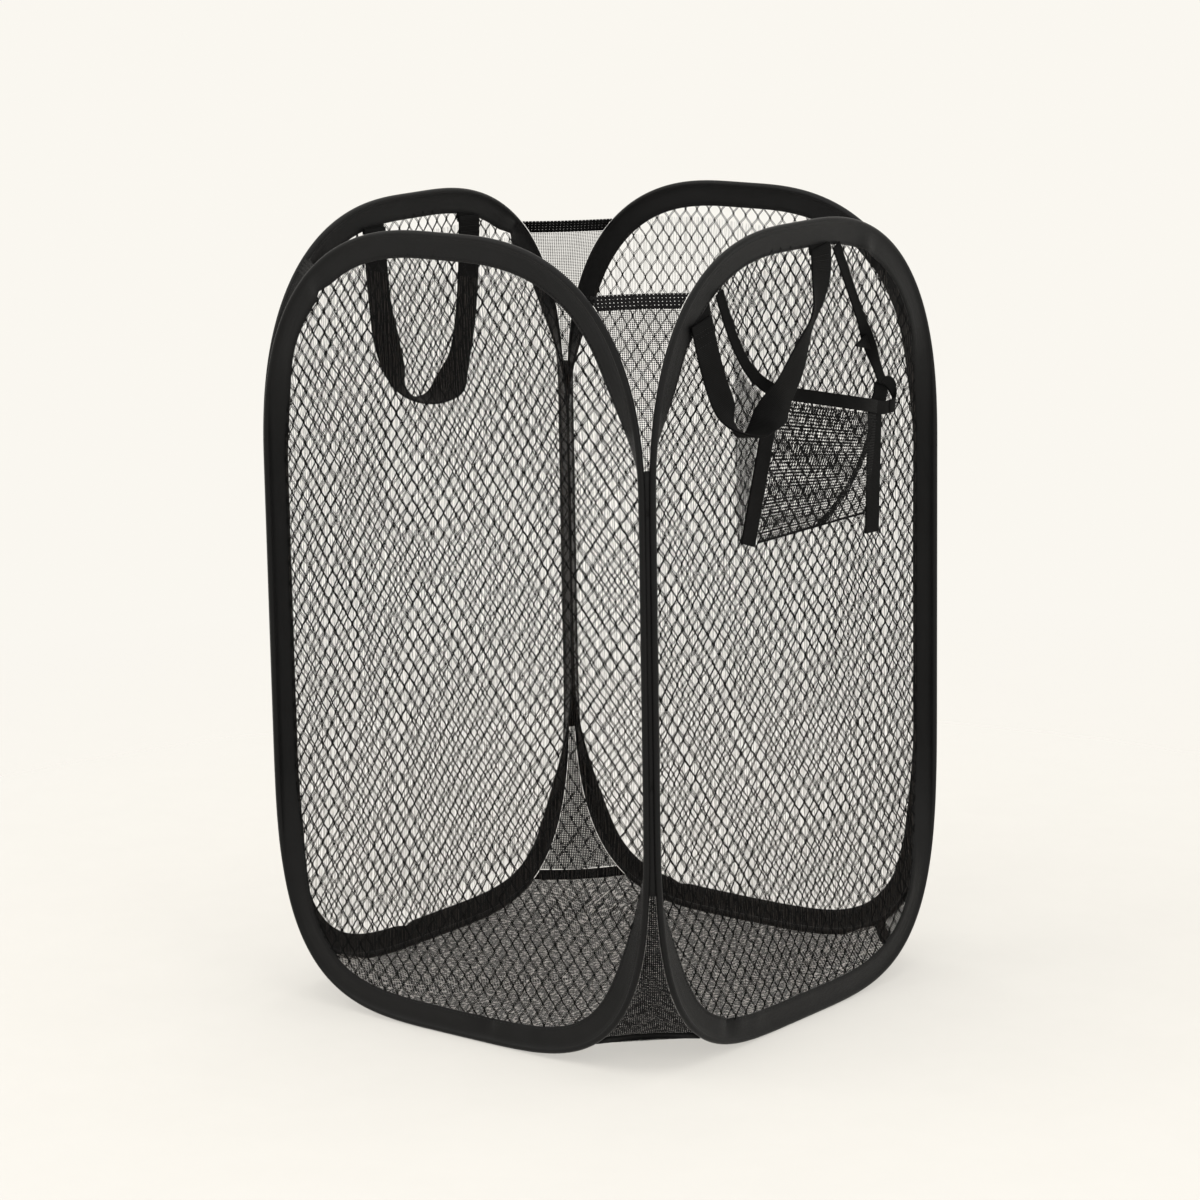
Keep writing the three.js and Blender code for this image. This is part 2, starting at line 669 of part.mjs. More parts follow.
function addTo(parent, name, geometry, material) {
  const mesh = new THREE.Mesh(geometry, material());
  mesh.name = name;
  parent.add(mesh);
  return mesh;
}

const PANEL_NAMES = ['front', 'right', 'back', 'left'];
const panels = {};
PANEL_NAMES.forEach((name, turn) => {
  const quarter = new THREE.Group();
  quarter.rotation.z = turn * Math.PI / 2;
  const panel = new THREE.Group();
  panel.position.y = -PANEL_OFFSET;
  quarter.add(panel);
  hamper.add(quarter);
  panels[name] = panel;
  addTo(panel, `${name}_hoop_wire`, wireGeometry(), springSteel);
  addTo(panel, `${name}_wire_ferrule`, ferruleGeometry(), springSteel);
  addTo(panel, `${name}_sleeve`, sleeveGeometry(), satin);
  addTo(panel, `${name}_net`, netGeometry(), netting);
});

const CORNER_NAMES = ['front_right', 'back_right', 'back_left', 'front_left'];
CORNER_NAMES.forEach((name, turn) => {
  const upperGusset = cornerSheet(STRAIGHT_TOP_Z, UPPER_HEM_Z - SEAM_GAP, MESH_THICKNESS);
  const upperHem = cornerSheet(UPPER_HEM_Z, UPPER_HEM_TOP, HEM_THICKNESS);
  const lowerGusset = cornerSheet(LOWER_HEM_Z, STRAIGHT_BOTTOM_Z, MESH_THICKNESS);
  const lowerTape = cornerSheet(LOWER_TAPE_BOTTOM, LOWER_TAPE_TOP, HEM_THICKNESS);
  const corner = new THREE.Group();
  corner.rotation.z = turn * Math.PI / 2;
  hamper.add(corner);
  addTo(corner, `${name}_upper_gusset`, upperGusset, fineMesh);
  addTo(corner, `${name}_upper_hem`, upperHem, webbing);
  addTo(corner, `${name}_lower_gusset`, lowerGusset, fineMesh);
  addTo(corner, `${name}_lower_tape`, lowerTape, webbing);
  addTo(corner, `${name}_corner_seam`, cornerSeamGeometry(), thread);
});

const rightHandle = handleGeometry(RIGHT_HANDLE, 1);
const leftHandle = handleGeometry(LEFT_HANDLE, -1);
const rimTape = strap(pocketTapeStations(), POCKET_TAPE_WIDTH, POCKET_TAPE_THICKNESS);
const leftBinding = pocketBindingGeometry(0, 0);
const rightBinding = pocketBindingGeometry(1, POCKET_BINDING_TAIL);
addTo(hamper, 'base_mesh', baseGeometry(), fineMesh);
addTo(panels.right, 'right_handle', rightHandle, webbing);
addTo(panels.left, 'left_handle', leftHandle, webbing);
addTo(panels.right, 'pocket_front_mesh', pocketFrontGeometry(), fineMesh);
addTo(panels.right, 'pocket_side_mesh', pocketSideGeometry(), fineMesh);
addTo(panels.right, 'pocket_rim_tape', rimTape, webbing);
addTo(panels.right, 'pocket_left_binding', leftBinding, webbing);
addTo(panels.right, 'pocket_right_binding', rightBinding, webbing);

export default hamper;
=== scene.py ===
import math

import bpy
import numpy as np
from mathutils import Matrix, Vector

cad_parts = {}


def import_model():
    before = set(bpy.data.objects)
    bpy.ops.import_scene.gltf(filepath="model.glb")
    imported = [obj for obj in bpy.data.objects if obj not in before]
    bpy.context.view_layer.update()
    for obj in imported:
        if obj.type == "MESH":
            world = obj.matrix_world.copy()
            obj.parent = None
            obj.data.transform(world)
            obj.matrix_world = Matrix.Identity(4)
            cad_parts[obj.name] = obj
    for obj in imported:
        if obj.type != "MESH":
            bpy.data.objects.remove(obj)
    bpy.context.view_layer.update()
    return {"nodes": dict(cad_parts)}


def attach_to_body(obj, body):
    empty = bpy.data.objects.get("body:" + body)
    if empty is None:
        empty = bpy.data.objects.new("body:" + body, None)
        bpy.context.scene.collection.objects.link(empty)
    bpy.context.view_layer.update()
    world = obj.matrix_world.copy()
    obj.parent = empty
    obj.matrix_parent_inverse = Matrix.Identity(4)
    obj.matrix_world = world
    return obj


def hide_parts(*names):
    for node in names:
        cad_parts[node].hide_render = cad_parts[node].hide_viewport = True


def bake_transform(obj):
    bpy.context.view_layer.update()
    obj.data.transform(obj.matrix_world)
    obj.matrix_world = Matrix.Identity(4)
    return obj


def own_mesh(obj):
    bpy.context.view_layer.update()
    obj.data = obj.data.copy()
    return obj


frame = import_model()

# Sizes in millimetres, as in the CAD part. Blender objects are in metres.
MM = 0.001
HEIGHT = 610.0
WIRE_PLANE = 184.95
SIDE_WIRE_U = 179.55
FLAT_HALF = 15.0
RIDGE = 2.55
TAIL_END = 17.95
TOP_END, TOP_POWER = 190.0, 2.45
BOTTOM_END, BOTTOM_POWER = 220.0, 3.5
HOOP_STATIONS = 300

# Bands: how far their tails turn in along the upright sides, and where they are creased
FIN_TURN = math.radians(58)
SIDE_NARROWING_SHARE = 0.1
FIN_LOW, FIN_LOW_FULL = 50.0, 190.0
FIN_HIGH_FULL, FIN_HIGH = 415.0, 530.0
TAIL_HALF = 0.68
STITCH_PITCH, STITCH_INSET, STITCH_LIFT = 3.6, 1.7, 0.12
# For each panel: u, z, turn in degrees, narrowing share, length along the band
CREASES = {
    "front": [(28, 5, 10, 0.07, 5), (-120, 560, -12, 0.08, 7)],
    "right": [(-99, 12, 14, 0.08, 6), (88, 590, -10, 0.07, 8)],
    "back": [(-132, 575, 22, 0.1, 7), (70, 8, 9, 0.06, 6)],
    "left": [(113, 560, -24, 0.1, 7), (-127, 580, 18, 0.09, 8), (40, 6, 10, 0.06, 6)],
}
# Where the ends of each sleeve are sewn over each other, along the bottom
SLEEVE_JOINT_U = {"front": 66.0, "right": -60.0, "back": 66.0, "left": -60.0}

# Net of paired threads, with fine filaments knitted up through its cells
NET_PITCH = 6.0
NET_PERIOD = 16.0
NET_SWING = 2.75
NET_TUCK = 3.0
STRAND_RADIUS = 0.31
FILAMENT_PITCH = 1.6
FILAMENT_RADIUS = 0.10
FILAMENT_STEP = 16.0
STRAND_SIDES = 3
NET_STEPS = 8
KNOT_SIZE = (0.75, 0.65, 1.5)

# Corners, base, hems
UPPER_HEM_Z, UPPER_HEM_TOP = 562.0, 571.0
LOWER_HEM_Z = 27.0
LOWER_TAPE_BOTTOM, LOWER_TAPE_TOP = 20.4, 26.4
STRAIGHT_BOTTOM_Z, STRAIGHT_TOP_Z = 220.0, 420.0
SEAM_FOLD_BOTTOM_Z, SEAM_FOLD_TOP_Z = 140.0, 452.0
BASE_REACH = 182.1
BASE_FLAT_SHARE = 0.6
BASE_TURN_UP = 5.2

# Handles and pocket
WEBBING_WIDTH, WEBBING_THICKNESS = 25.0, 1.4
HANDLE_ROOT_DEPTH = 2.6
ROOT_COVER = 6.0
RIGHT_HANDLE = {
    "from": -123, "to": 24, "drop": 95, "skew": -62, "depth": 21, "leg": 1.45,
    "starts": (0.71, 0.84), "turn": 1.12, "curl": -0.55, "curl_place": 0.5, "curl_length": 0.16, "bend": 10}
LEFT_HANDLE = {
    "from": -63, "to": 51, "drop": 140, "skew": 12, "depth": 17.5, "leg": 0.72,
    "starts": (0.84, 0.84), "turn": 0.95, "curl": -0.35, "curl_place": 0.62, "curl_length": 0.06, "bend": 15}
POCKET_LEFT_U, POCKET_RIGHT_U = -34.0, 96.0
POCKET_LEFT_FOOT_U, POCKET_RIGHT_FOOT_U = -69.0, 92.0
POCKET_BOTTOM_Z, RIM_LEFT_Z, RIM_RIGHT_Z = 380.0, 489.0, 459.0
MOUTH_DEPTH, POCKET_ROOT_DEPTH = 17.0, 2.2
TAPE_WIDTH, TAPE_THICKNESS = 10.0, 1.2
BINDING_WIDTH, BINDING_TAIL, BINDING_DROP = 18.0, 17.0, 5.5
POCKET_INSET = BINDING_WIDTH / 2 + 1.0
STRAP_LEFT_U, STRAP_RIGHT_U = -101.0, 45.0
TURN_RADIUS, TURN_SWAY = 13.0, 0.33
# The rim lies flat for its first share, then waves out
RIM_FLAT_SHARE, RIM_WAVE_LEAN, RIM_WAVE_POWER = 0.24, 1.25, 0.8
# The rim's end turns back like a belt into the right strap
LOOP_U, LOOP_REACH, LOOP_RISE = 102.0, 13.0, 20.0
LOOP_OUT, LOOP_BACK = 9.8, 3.8
# Where the right strap is twisted, and the loose corner that stands out there
STRAP_TWIST, STRAP_TWIST_SHARE, STRAP_TWIST_LENGTH = 0.9, 0.28, 0.1
STRAP_STEPS, STRAP_FOLD_STEP = 26, 7
STRAP_FOLD_TIP, STRAP_FOLD_ROOTS = (-25.0, -4.0, 1.0), (8, 1, -6)
# Pocket front and lining
MESH_TOP_GAP = 0.7
FRONT_PUFF = 1.1
LINING_FOOT_SHARE, LINING_SPREAD, LINING_DROP, LINING_LEAST = 0.56, 0.34, 2.4, 1.3
LINING_EDGE_WIDTH, LINING_EDGE_THICKNESS = 6.0, 0.6
POCKET_HEM_RADIUS = 0.75
# The right binding's upper end passes behind the rim into the loop
RIGHT_BINDING_RISE, RIGHT_BINDING_SHIFT, RIGHT_BINDING_BACK = 24.0, 7.0, 0.4
SIDE_FIRST, SIDE_LAST, SIDE_DROP, SIDE_FOOT_WIDTH = 0.3, 0.84, 10.7, 3.0

PANELS = ["front", "right", "back", "left"]
FOLDS = {"front": "right_fold", "right": "right_fold", "back": "back_fold", "left": "left_fold"}
CORNERS = {
    "front_right": ("front_panel", "right_panel"),
    "back_right": ("right_panel", "back_panel"),
    "back_left": ("back_panel", "back_left_corner"),
    "front_left": ("left_panel", "front_panel"),
}


def smooth(x, low, high):
    t = np.clip((x - low) / (high - low), 0, 1)
    return t * t * (3 - 2 * t)


def quarter_turns(points, turns):
    """Turns points about the upright axis by quarter turns."""
    p = np.asarray(points, float)
    for _ in range(turns % 4):
        p = np.stack([-p[..., 1], p[..., 0], p[..., 2]], -1)
    return p


# Hoop outline
def quarter(end, power):
    a = np.linspace(0, math.pi / 2, 81)
    u = FLAT_HALF + (SIDE_WIRE_U - FLAT_HALF) * np.sin(a) ** (2 / power)
    z = (end - RIDGE) * (1 - np.abs(np.cos(a)) ** (2 / power))
    return u, z


def hoop_outline():
    ub, zb = quarter(BOTTOM_END, BOTTOM_POWER)
    ut, zt = quarter(TOP_END, TOP_POWER)
    bottom = np.stack([ub, RIDGE + zb], 1)
    top = np.stack([ut, HEIGHT - RIDGE - zt], 1)[::-1]
    right = np.concatenate([bottom, top])
    loop = np.concatenate([right, right[::-1] * (-1, 1), right[:1]])
    length = np.concatenate([[0], np.cumsum(np.linalg.norm(np.diff(loop, axis=0), axis=1))])
    at = np.linspace(0, length[-1], HOOP_STATIONS, endpoint=False)
    points = np.stack([np.interp(at, length, loop[:, i]) for i in (0, 1)], 1)
    along = np.roll(points, -1, 0) - np.roll(points, 1, 0)
    along /= np.linalg.norm(along, axis=1)[:, None]
    inward = np.stack([-along[:, 1], along[:, 0]], 1)
    return points, along, inward, at, length[-1]


HOOP, HOOP_ALONG, HOOP_IN, HOOP_AT, HOOP_LENGTH = hoop_outline()
RIGHT_SIDE = HOOP[:, 0] > 0


def side_order():
    index = np.where(RIGHT_SIDE)[0]
    return index[np.argsort(HOOP[index, 1])]


SIDE = side_order()


def wire_at(z):
    """Place and inward direction of the wire on the right-hand side at a height."""
    zs = HOOP[SIDE, 1]
    u = np.interp(z, zs, HOOP[SIDE, 0])
    n = np.array([np.interp(z, zs, HOOP_IN[SIDE, 0]), np.interp(z, zs, HOOP_IN[SIDE, 1])])
    return u, n / np.linalg.norm(n)


def bottom_height(u):
    low = [i for i in SIDE if HOOP[i, 1] < 300]
    return float(np.interp(abs(u), HOOP[low, 0], HOOP[low, 1]))


def band_edge(u):
    """Height of the band's inner edge at a place along the top."""
    high = [i for i in SIDE if HOOP[i, 1] > STRAIGHT_TOP_Z]
    edge = HOOP[high] + HOOP_IN[high] * TAIL_END
    order = np.argsort(edge[:, 0])
    return float(np.interp(abs(u), edge[order, 0], edge[order, 1]))


def fin_turn(z):
    return FIN_TURN * smooth(z, FIN_LOW, FIN_LOW_FULL) * (1 - smooth(z, FIN_HIGH_FULL, FIN_HIGH))


# Mesh builders. Points are in millimetres.
def mesh_object(name, points, faces, uvs=None, material=None, edges=(), is_smooth=True):
    mesh = bpy.data.meshes.new(name)
    mesh.from_pydata([tuple(p) for p in np.asarray(points, float) * MM], list(edges), faces)
    if uvs is not None:
        layer = mesh.uv_layers.new(name="UVMap")
        corner_uvs = [uv for face in uvs for uv in face]
        layer.data.foreach_set("uv", np.asarray(corner_uvs, np.float32).ravel() * MM)
    if is_smooth and faces:
        mesh.polygons.foreach_set("use_smooth", [True] * len(mesh.polygons))
    mesh.update()
    obj = bpy.data.objects.new(name, mesh)
    bpy.context.collection.objects.link(obj)
    if material is not None:
        mesh.materials.append(material)
    return obj


def loft(name, rings, lengths, girth, material, is_loop=False, total=None, uv_offset=0.0):
    """Joins closed rings of points. lengths runs along the loft, and girth round each ring."""
    rings = np.asarray(rings, float)
    rows, count = rings.shape[:2]
    faces, uvs = [], []
    last = rows if is_loop else rows - 1
    for i in range(last):
        k = (i + 1) % rows
        here = lengths[i] + uv_offset
        there = (lengths[k] if k else total) + uv_offset
        for j in range(count):
            m = (j + 1) % count
            faces.append((i * count + j, i * count + m, k * count + m, k * count + j))
            across, beyond = girth[j], girth[j + 1]
            uvs.append(((here, across), (here, beyond), (there, beyond), (there, across)))
    if not is_loop:
        for row, order in ((0, range(count - 1, -1, -1)), (rows - 1, range(count))):
            faces.append(tuple(row * count + j for j in order))
            uvs.append(tuple((lengths[row], girth[j]) for j in order))
    return mesh_object(name, rings.reshape(-1, 3), faces, uvs, material)


def grid(name, rows, material, uv_offset=(0.0, 0.0)):
    """A single layer of cloth through rows of points."""
    rows = np.asarray(rows, float)
    n, m = rows.shape[:2]
    middle = rows[n // 2]
    column = rows[:, m // 2]
    x = np.concatenate([[0], np.cumsum(np.linalg.norm(np.diff(middle, axis=0), axis=1))])
    y = np.concatenate([[0], np.cumsum(np.linalg.norm(np.diff(column, axis=0), axis=1))])
    widths = np.linalg.norm(np.diff(rows, axis=1), axis=2).sum(1)
    place = (x[None, :] - x[-1] / 2) * (widths / max(x[-1], 1e-6))[:, None] + uv_offset[0]
    faces, uvs = [], []
    for i in range(n - 1):
        for j in range(m - 1):
            corners = [(i, j), (i, j + 1), (i + 1, j + 1), (i + 1, j)]
            faces.append(tuple(a * m + b for a, b in corners))
            uvs.append(tuple((place[a, b], y[a] + uv_offset[1]) for a, b in corners))
    return mesh_object(name, rows.reshape(-1, 3), faces, uvs, material)


def thicken(obj, thickness):
    solid = obj.modifiers.new("thickness", "SOLIDIFY")
    solid.thickness = thickness * MM
    solid.offset = 0
    return bake(obj)


def bake(obj):
    """Makes what the modifiers give into the object's own mesh."""
    graph = bpy.context.evaluated_depsgraph_get()
    mesh = bpy.data.meshes.new_from_object(obj.evaluated_get(graph))
    before = obj.data
    obj.modifiers.clear()
    obj.data = mesh
    bpy.data.meshes.remove(before)
    return obj


# Geometry Nodes
def new_tree(name, inputs):
    tree = bpy.data.node_groups.new(name, "GeometryNodeTree")
    tree.interface.new_socket("Geometry", in_out="INPUT", socket_type="NodeSocketGeometry")
    for label, kind in inputs:
        tree.interface.new_socket(label, in_out="INPUT", socket_type=kind)
    tree.interface.new_socket("Geometry", in_out="OUTPUT", socket_type="NodeSocketGeometry")
    return tree, tree.nodes.new("NodeGroupInput"), tree.nodes.new("NodeGroupOutput")


def socket(node, name, outputs=False):
    sockets = node.outputs if outputs else node.inputs
    return next(s for s in sockets if s.enabled and s.name == name)


def finish_tree(tree, source, given, out):
    """Realizes instances, shades them smooth and gives them their material."""
    realize = tree.nodes.new("GeometryNodeRealizeInstances")
    shade = tree.nodes.new("GeometryNodeSetShadeSmooth")
    paint = tree.nodes.new("GeometryNodeSetMaterial")
    tree.links.new(source, realize.inputs[0])
    tree.links.new(realize.outputs[0], shade.inputs[0])
    tree.links.new(shade.outputs[0], paint.inputs[0])
    tree.links.new(given.outputs["Material"], socket(paint, "Material"))
    tree.links.new(paint.outputs[0], out.inputs[0])


def thread_tree():
    """Turns lines into threads."""
    tree, given, out = new_tree("threads", [
        ("Radius", "NodeSocketFloat"), ("Sides", "NodeSocketInt"), ("Material", "NodeSocketMaterial")])
    curve = tree.nodes.new("GeometryNodeMeshToCurve")
    circle = tree.nodes.new("GeometryNodeCurvePrimitiveCircle")
    tube = tree.nodes.new("GeometryNodeCurveToMesh")
    tree.links.new(given.outputs["Geometry"], curve.inputs["Mesh"])
    tree.links.new(given.outputs["Radius"], socket(circle, "Radius"))
    tree.links.new(given.outputs["Sides"], socket(circle, "Resolution"))
    tree.links.new(curve.outputs[0], tube.inputs["Curve"])
    tree.links.new(circle.outputs[0], tube.inputs["Profile Curve"])
    tube.inputs["Fill Caps"].default_value = True
    finish_tree(tree, tube.outputs[0], given, out)
    return tree


def bead_tree():
    """Puts a small stretched bead on each point, along the point's aim."""
    tree, given, out = new_tree("beads", [
        ("Size", "NodeSocketVector"), ("Least", "NodeSocketFloat"), ("Most", "NodeSocketFloat"),
        ("Seed", "NodeSocketInt"), ("Detail", "NodeSocketInt"), ("Material", "NodeSocketMaterial")])
    aim = tree.nodes.new("GeometryNodeInputNamedAttribute")
    aim.data_type = "FLOAT_VECTOR"
    aim.inputs["Name"].default_value = "aim"
    align = tree.nodes.new("FunctionNodeAlignRotationToVector")
    align.axis = "Z"
    bead = tree.nodes.new("GeometryNodeMeshIcoSphere")
    chance = tree.nodes.new("FunctionNodeRandomValue")
    chance.data_type = "FLOAT"
    scale = tree.nodes.new("ShaderNodeVectorMath")
    scale.operation = "SCALE"
    place = tree.nodes.new("GeometryNodeInstanceOnPoints")
    bead.inputs["Radius"].default_value = 1.0
    tree.links.new(given.outputs["Detail"], bead.inputs["Subdivisions"])
    tree.links.new(socket(aim, "Attribute", True), socket(align, "Vector"))
    tree.links.new(given.outputs["Least"], socket(chance, "Min"))
    tree.links.new(given.outputs["Most"], socket(chance, "Max"))
    tree.links.new(given.outputs["Seed"], socket(chance, "Seed"))
    tree.links.new(given.outputs["Size"], scale.inputs[0])
    tree.links.new(socket(chance, "Value", True), socket(scale, "Scale"))
    tree.links.new(given.outputs["Geometry"], place.inputs["Points"])
    tree.links.new(bead.outputs[0], place.inputs["Instance"])
    tree.links.new(align.outputs[0], place.inputs["Rotation"])
    tree.links.new(scale.outputs[0], place.inputs["Scale"])
    finish_tree(tree, place.outputs[0], given, out)
    return tree


THREADS = thread_tree()
BEADS = bead_tree()


def run_tree(obj, tree, values):
    modifier = obj.modifiers.new(tree.name, "NODES")
    modifier.node_group = tree
    for item in tree.interface.items_tree:
        if item.item_type == "SOCKET" and item.in_out == "INPUT" and item.name in values:
            modifier[item.identifier] = values[item.name]
    return bake(obj)


def threads(name, lines, radius, material, sides=STRAND_SIDES):
    """Threads along lines of points."""
    points, edges = [], []
    for line in lines:
        first = len(points)
        points.extend(line)
        edges.extend((first + k, first + k + 1) for k in range(len(line) - 1))
    obj = mesh_object(name, points, [], None, None, edges)
    return run_tree(obj, THREADS, {"Radius": radius * MM, "Sides": sides, "Material": material})


def beads(name, points, aims, size, material, spread=0.12, seed=7, detail=1):
    """Beads on points: knots, or the stitches of a seam."""
    obj = mesh_object(name, points, [])
    layer = obj.data.attributes.new("aim", "FLOAT_VECTOR", "POINT")
    layer.data.foreach_set("vector", np.asarray(aims, np.float32).ravel())
    size = [s * MM for s in size]
    return run_tree(obj, BEADS, {
        "Size": size, "Least": 1 - spread, "Most": 1 + spread,
        "Seed": seed, "Detail": detail, "Material": material})


# Materials
def new_material(name):
    material = bpy.data.materials.new(name)
    material.use_nodes = True
    tree = material.node_tree
    tree.nodes.clear()
    out = tree.nodes.new("ShaderNodeOutputMaterial")
    shader = tree.nodes.new("ShaderNodeBsdfPrincipled")
    tree.links.new(shader.outputs[0], out.inputs[0])
    return material, tree, shader


def put(tree, kind, inputs=None, **settings):
    node = tree.nodes.new(kind)
    for key, value in settings.items():
        setattr(node, key, value)
    for key, value in (inputs or {}).items():
        if isinstance(value, bpy.types.NodeSocket):
            tree.links.new(value, node.inputs[key])
        else:
            node.inputs[key].default_value = value
    return node


def math_node(tree, operation, a, b=None, c=None):
    inputs = {0: a}
    if b is not None:
        inputs[1] = b
    if c is not None:
        inputs[2] = c
    return put(tree, "ShaderNodeMath", inputs, operation=operation).outputs[0]


def place_sockets(tree, uses_uv):
    """Coordinates in metres, from the cloth's own UV map or from the object."""
    kind = "UV" if uses_uv else "Object"
    vector = put(tree, "ShaderNodeTexCoord").outputs[kind]
    parts = put(tree, "ShaderNodeSeparateXYZ", {0: vector})
    return vector, parts.outputs


def ripple(tree, coordinate, pitch_mm):
    turned = math_node(tree, "MULTIPLY", coordinate, 2 * math.pi / (pitch_mm * MM))
    return math_node(tree, "SINE", turned)


def noise(tree, vector, size_mm, detail=4.0, stretch=(1, 1, 1)):
    scaled = put(tree, "ShaderNodeVectorMath", {0: vector, 1: [1 / (size_mm * MM * s) for s in stretch]},
                 operation="MULTIPLY")
    return put(tree, "ShaderNodeTexNoise", {"Vector": scaled.outputs[0], "Scale": 1.0,
                                            "Detail": detail, "Roughness": 0.55}).outputs[0]


def ramp(tree, value, dark, light, low=0.3, high=0.7):
    node = put(tree, "ShaderNodeValToRGB", {0: value})
    node.color_ramp.elements[0].position = low
    node.color_ramp.elements[0].color = (*dark, 1)
    node.color_ramp.elements[1].position = high
    node.color_ramp.elements[1].color = (*light, 1)
    return node.outputs[0]


def bump(tree, height, distance_mm, strength=1.0, under=None):
    inputs = {"Height": height, "Distance": distance_mm * MM, "Strength": strength}
    if under is not None:
        inputs["Normal"] = under
    return put(tree, "ShaderNodeBump", inputs).outputs[0]


def cloth(name, dark, light, roughness, pitch, sheen=0.0, sheen_rough=0.4, uses_uv=True,
          weave_depth=0.05, wrinkle=None, specular=0.5):
    """A woven cloth: weave and wrinkles in the bump, and uneven dye in the colour."""
    material, tree, shader = new_material(name)
    vector, parts = place_sockets(tree, uses_uv)
    over = ripple(tree, parts[0], pitch[0])
    under = ripple(tree, parts[1], pitch[1])
    woven = math_node(tree, "MULTIPLY", over, under)
    patches = noise(tree, vector, 22)
    fuzz = noise(tree, vector, 1.1, 2.0)
    mixed = math_node(tree, "MULTIPLY_ADD", woven, 0.10, patches)
    mixed = math_node(tree, "MULTIPLY_ADD", fuzz, 0.22, mixed)
    tree.links.new(ramp(tree, mixed, dark, light, 0.35, 0.95), shader.inputs["Base Color"])
    spread = put(tree, "ShaderNodeMapRange", {0: fuzz, 3: roughness - 0.06, 4: roughness + 0.08})
    tree.links.new(spread.outputs[0], shader.inputs["Roughness"])
    normal = bump(tree, woven, weave_depth, 0.6)
    if wrinkle:
        folds = noise(tree, vector, wrinkle["size"], 3.0, wrinkle["stretch"])
        normal = bump(tree, folds, wrinkle["depth"], 0.7, normal)
    tree.links.new(normal, shader.inputs["Normal"])
    shader.inputs["Sheen Weight"].default_value = sheen
    shader.inputs["Sheen Roughness"].default_value = sheen_rough
    shader.inputs["Specular IOR Level"].default_value = specular
    return material


def webbing_cloth(name, dark, light, roughness, rib_mm):
    """Ribbed tape: ribs across it, a twill along it and a firm edge."""
    material, tree, shader = new_material(name)
    vector, parts = place_sockets(tree, True)
    ribs = ripple(tree, parts[0], rib_mm)
    twill = math_node(tree, "ADD", math_node(tree, "MULTIPLY", parts[0], 0.5), parts[1])
    lines = ripple(tree, twill, rib_mm * 0.8)
    woven = math_node(tree, "MULTIPLY_ADD", lines, 0.5, ribs)
    patches = noise(tree, vector, 15)
    fuzz = noise(tree, vector, 0.9, 2.0)
    mixed = math_node(tree, "MULTIPLY_ADD", woven, 0.12, patches)
    tree.links.new(ramp(tree, mixed, dark, light, 0.3, 0.85), shader.inputs["Base Color"])
    spread = put(tree, "ShaderNodeMapRange", {0: fuzz, 3: roughness - 0.06, 4: roughness + 0.08})
    tree.links.new(spread.outputs[0], shader.inputs["Roughness"])
    tree.links.new(bump(tree, woven, 0.10, 0.7), shader.inputs["Normal"])
    shader.inputs["Specular IOR Level"].default_value = 0.07
    return material


def see_through(name, dark, light, pitch_mm, cover, roughness=0.7, painted_glints=None):
    """Fine knitted mesh: rows of small holes that the light comes through, with painted glints in the colour
    where they are given.
    """
    material, tree, shader = new_material(name)
    vector, parts = place_sockets(tree, True)
    x = math_node(tree, "MULTIPLY", parts[0], 2 * math.pi / (pitch_mm * MM))
    y = math_node(tree, "MULTIPLY", parts[1], 2 * math.pi / (pitch_mm * MM))
    cells = math_node(tree, "ADD", math_node(tree, "COSINE", x), math_node(tree, "COSINE", y))
    cloudy = noise(tree, vector, 14)
    wander = math_node(tree, "MULTIPLY_ADD", cloudy, 0.5, cells)
    edge = put(tree, "ShaderNodeMapRange", {0: wander, 1: cover - 0.12, 2: cover + 0.12, 3: 1.0, 4: 0.0})
    tree.links.new(edge.outputs[0], shader.inputs["Alpha"])
    color = ramp(tree, cloudy, dark, light)
    if painted_glints:
        # Light specks painted into the colour: painted highlights of light glinting off the yarn's small
        # loops
        glint = ramp(tree, noise(tree, vector, 3.4, 2.0, (0.7, 1.4, 1)), (0, 0, 0), (1, 1, 1), 0.53, 0.59)
        mix = put(tree, "ShaderNodeMix", {0: glint}, data_type="RGBA")
        tree.links.new(color, mix.inputs[6])
        mix.inputs[7].default_value = (*painted_glints, 1)
        color = mix.outputs[2]
    tree.links.new(color, shader.inputs["Base Color"])
    tree.links.new(bump(tree, cells, 0.08, 0.5), shader.inputs["Normal"])
    shader.inputs["Roughness"].default_value = roughness
    shader.inputs["Specular IOR Level"].default_value = 0.08
    return material


def lace_cloth():
    """Dense black hem with three rows of small holes."""
    material, tree, shader = new_material("lace_hem")
    vector, parts = place_sockets(tree, True)
    x = math_node(tree, "MULTIPLY", parts[0], 2 * math.pi / (2.9 * MM))
    y = math_node(tree, "MULTIPLY", parts[1], 2 * math.pi / (2.9 * MM))
    cells = math_node(tree, "ADD", math_node(tree, "COSINE", x), math_node(tree, "COSINE", y))
    hole = put(tree, "ShaderNodeMapRange", {0: cells, 1: 1.1, 2: 1.4, 3: 1.0, 4: 0.0}).outputs[0]
    tree.links.new(hole, shader.inputs["Alpha"])
    patches = noise(tree, vector, 6)
    tree.links.new(ramp(tree, patches, (0.002, 0.002, 0.002), (0.008, 0.008, 0.008)),
                   shader.inputs["Base Color"])
    tree.links.new(bump(tree, cells, 0.25, 0.7), shader.inputs["Normal"])
    shader.inputs["Roughness"].default_value = 0.7
    shader.inputs["Specular IOR Level"].default_value = 0.1
    return material


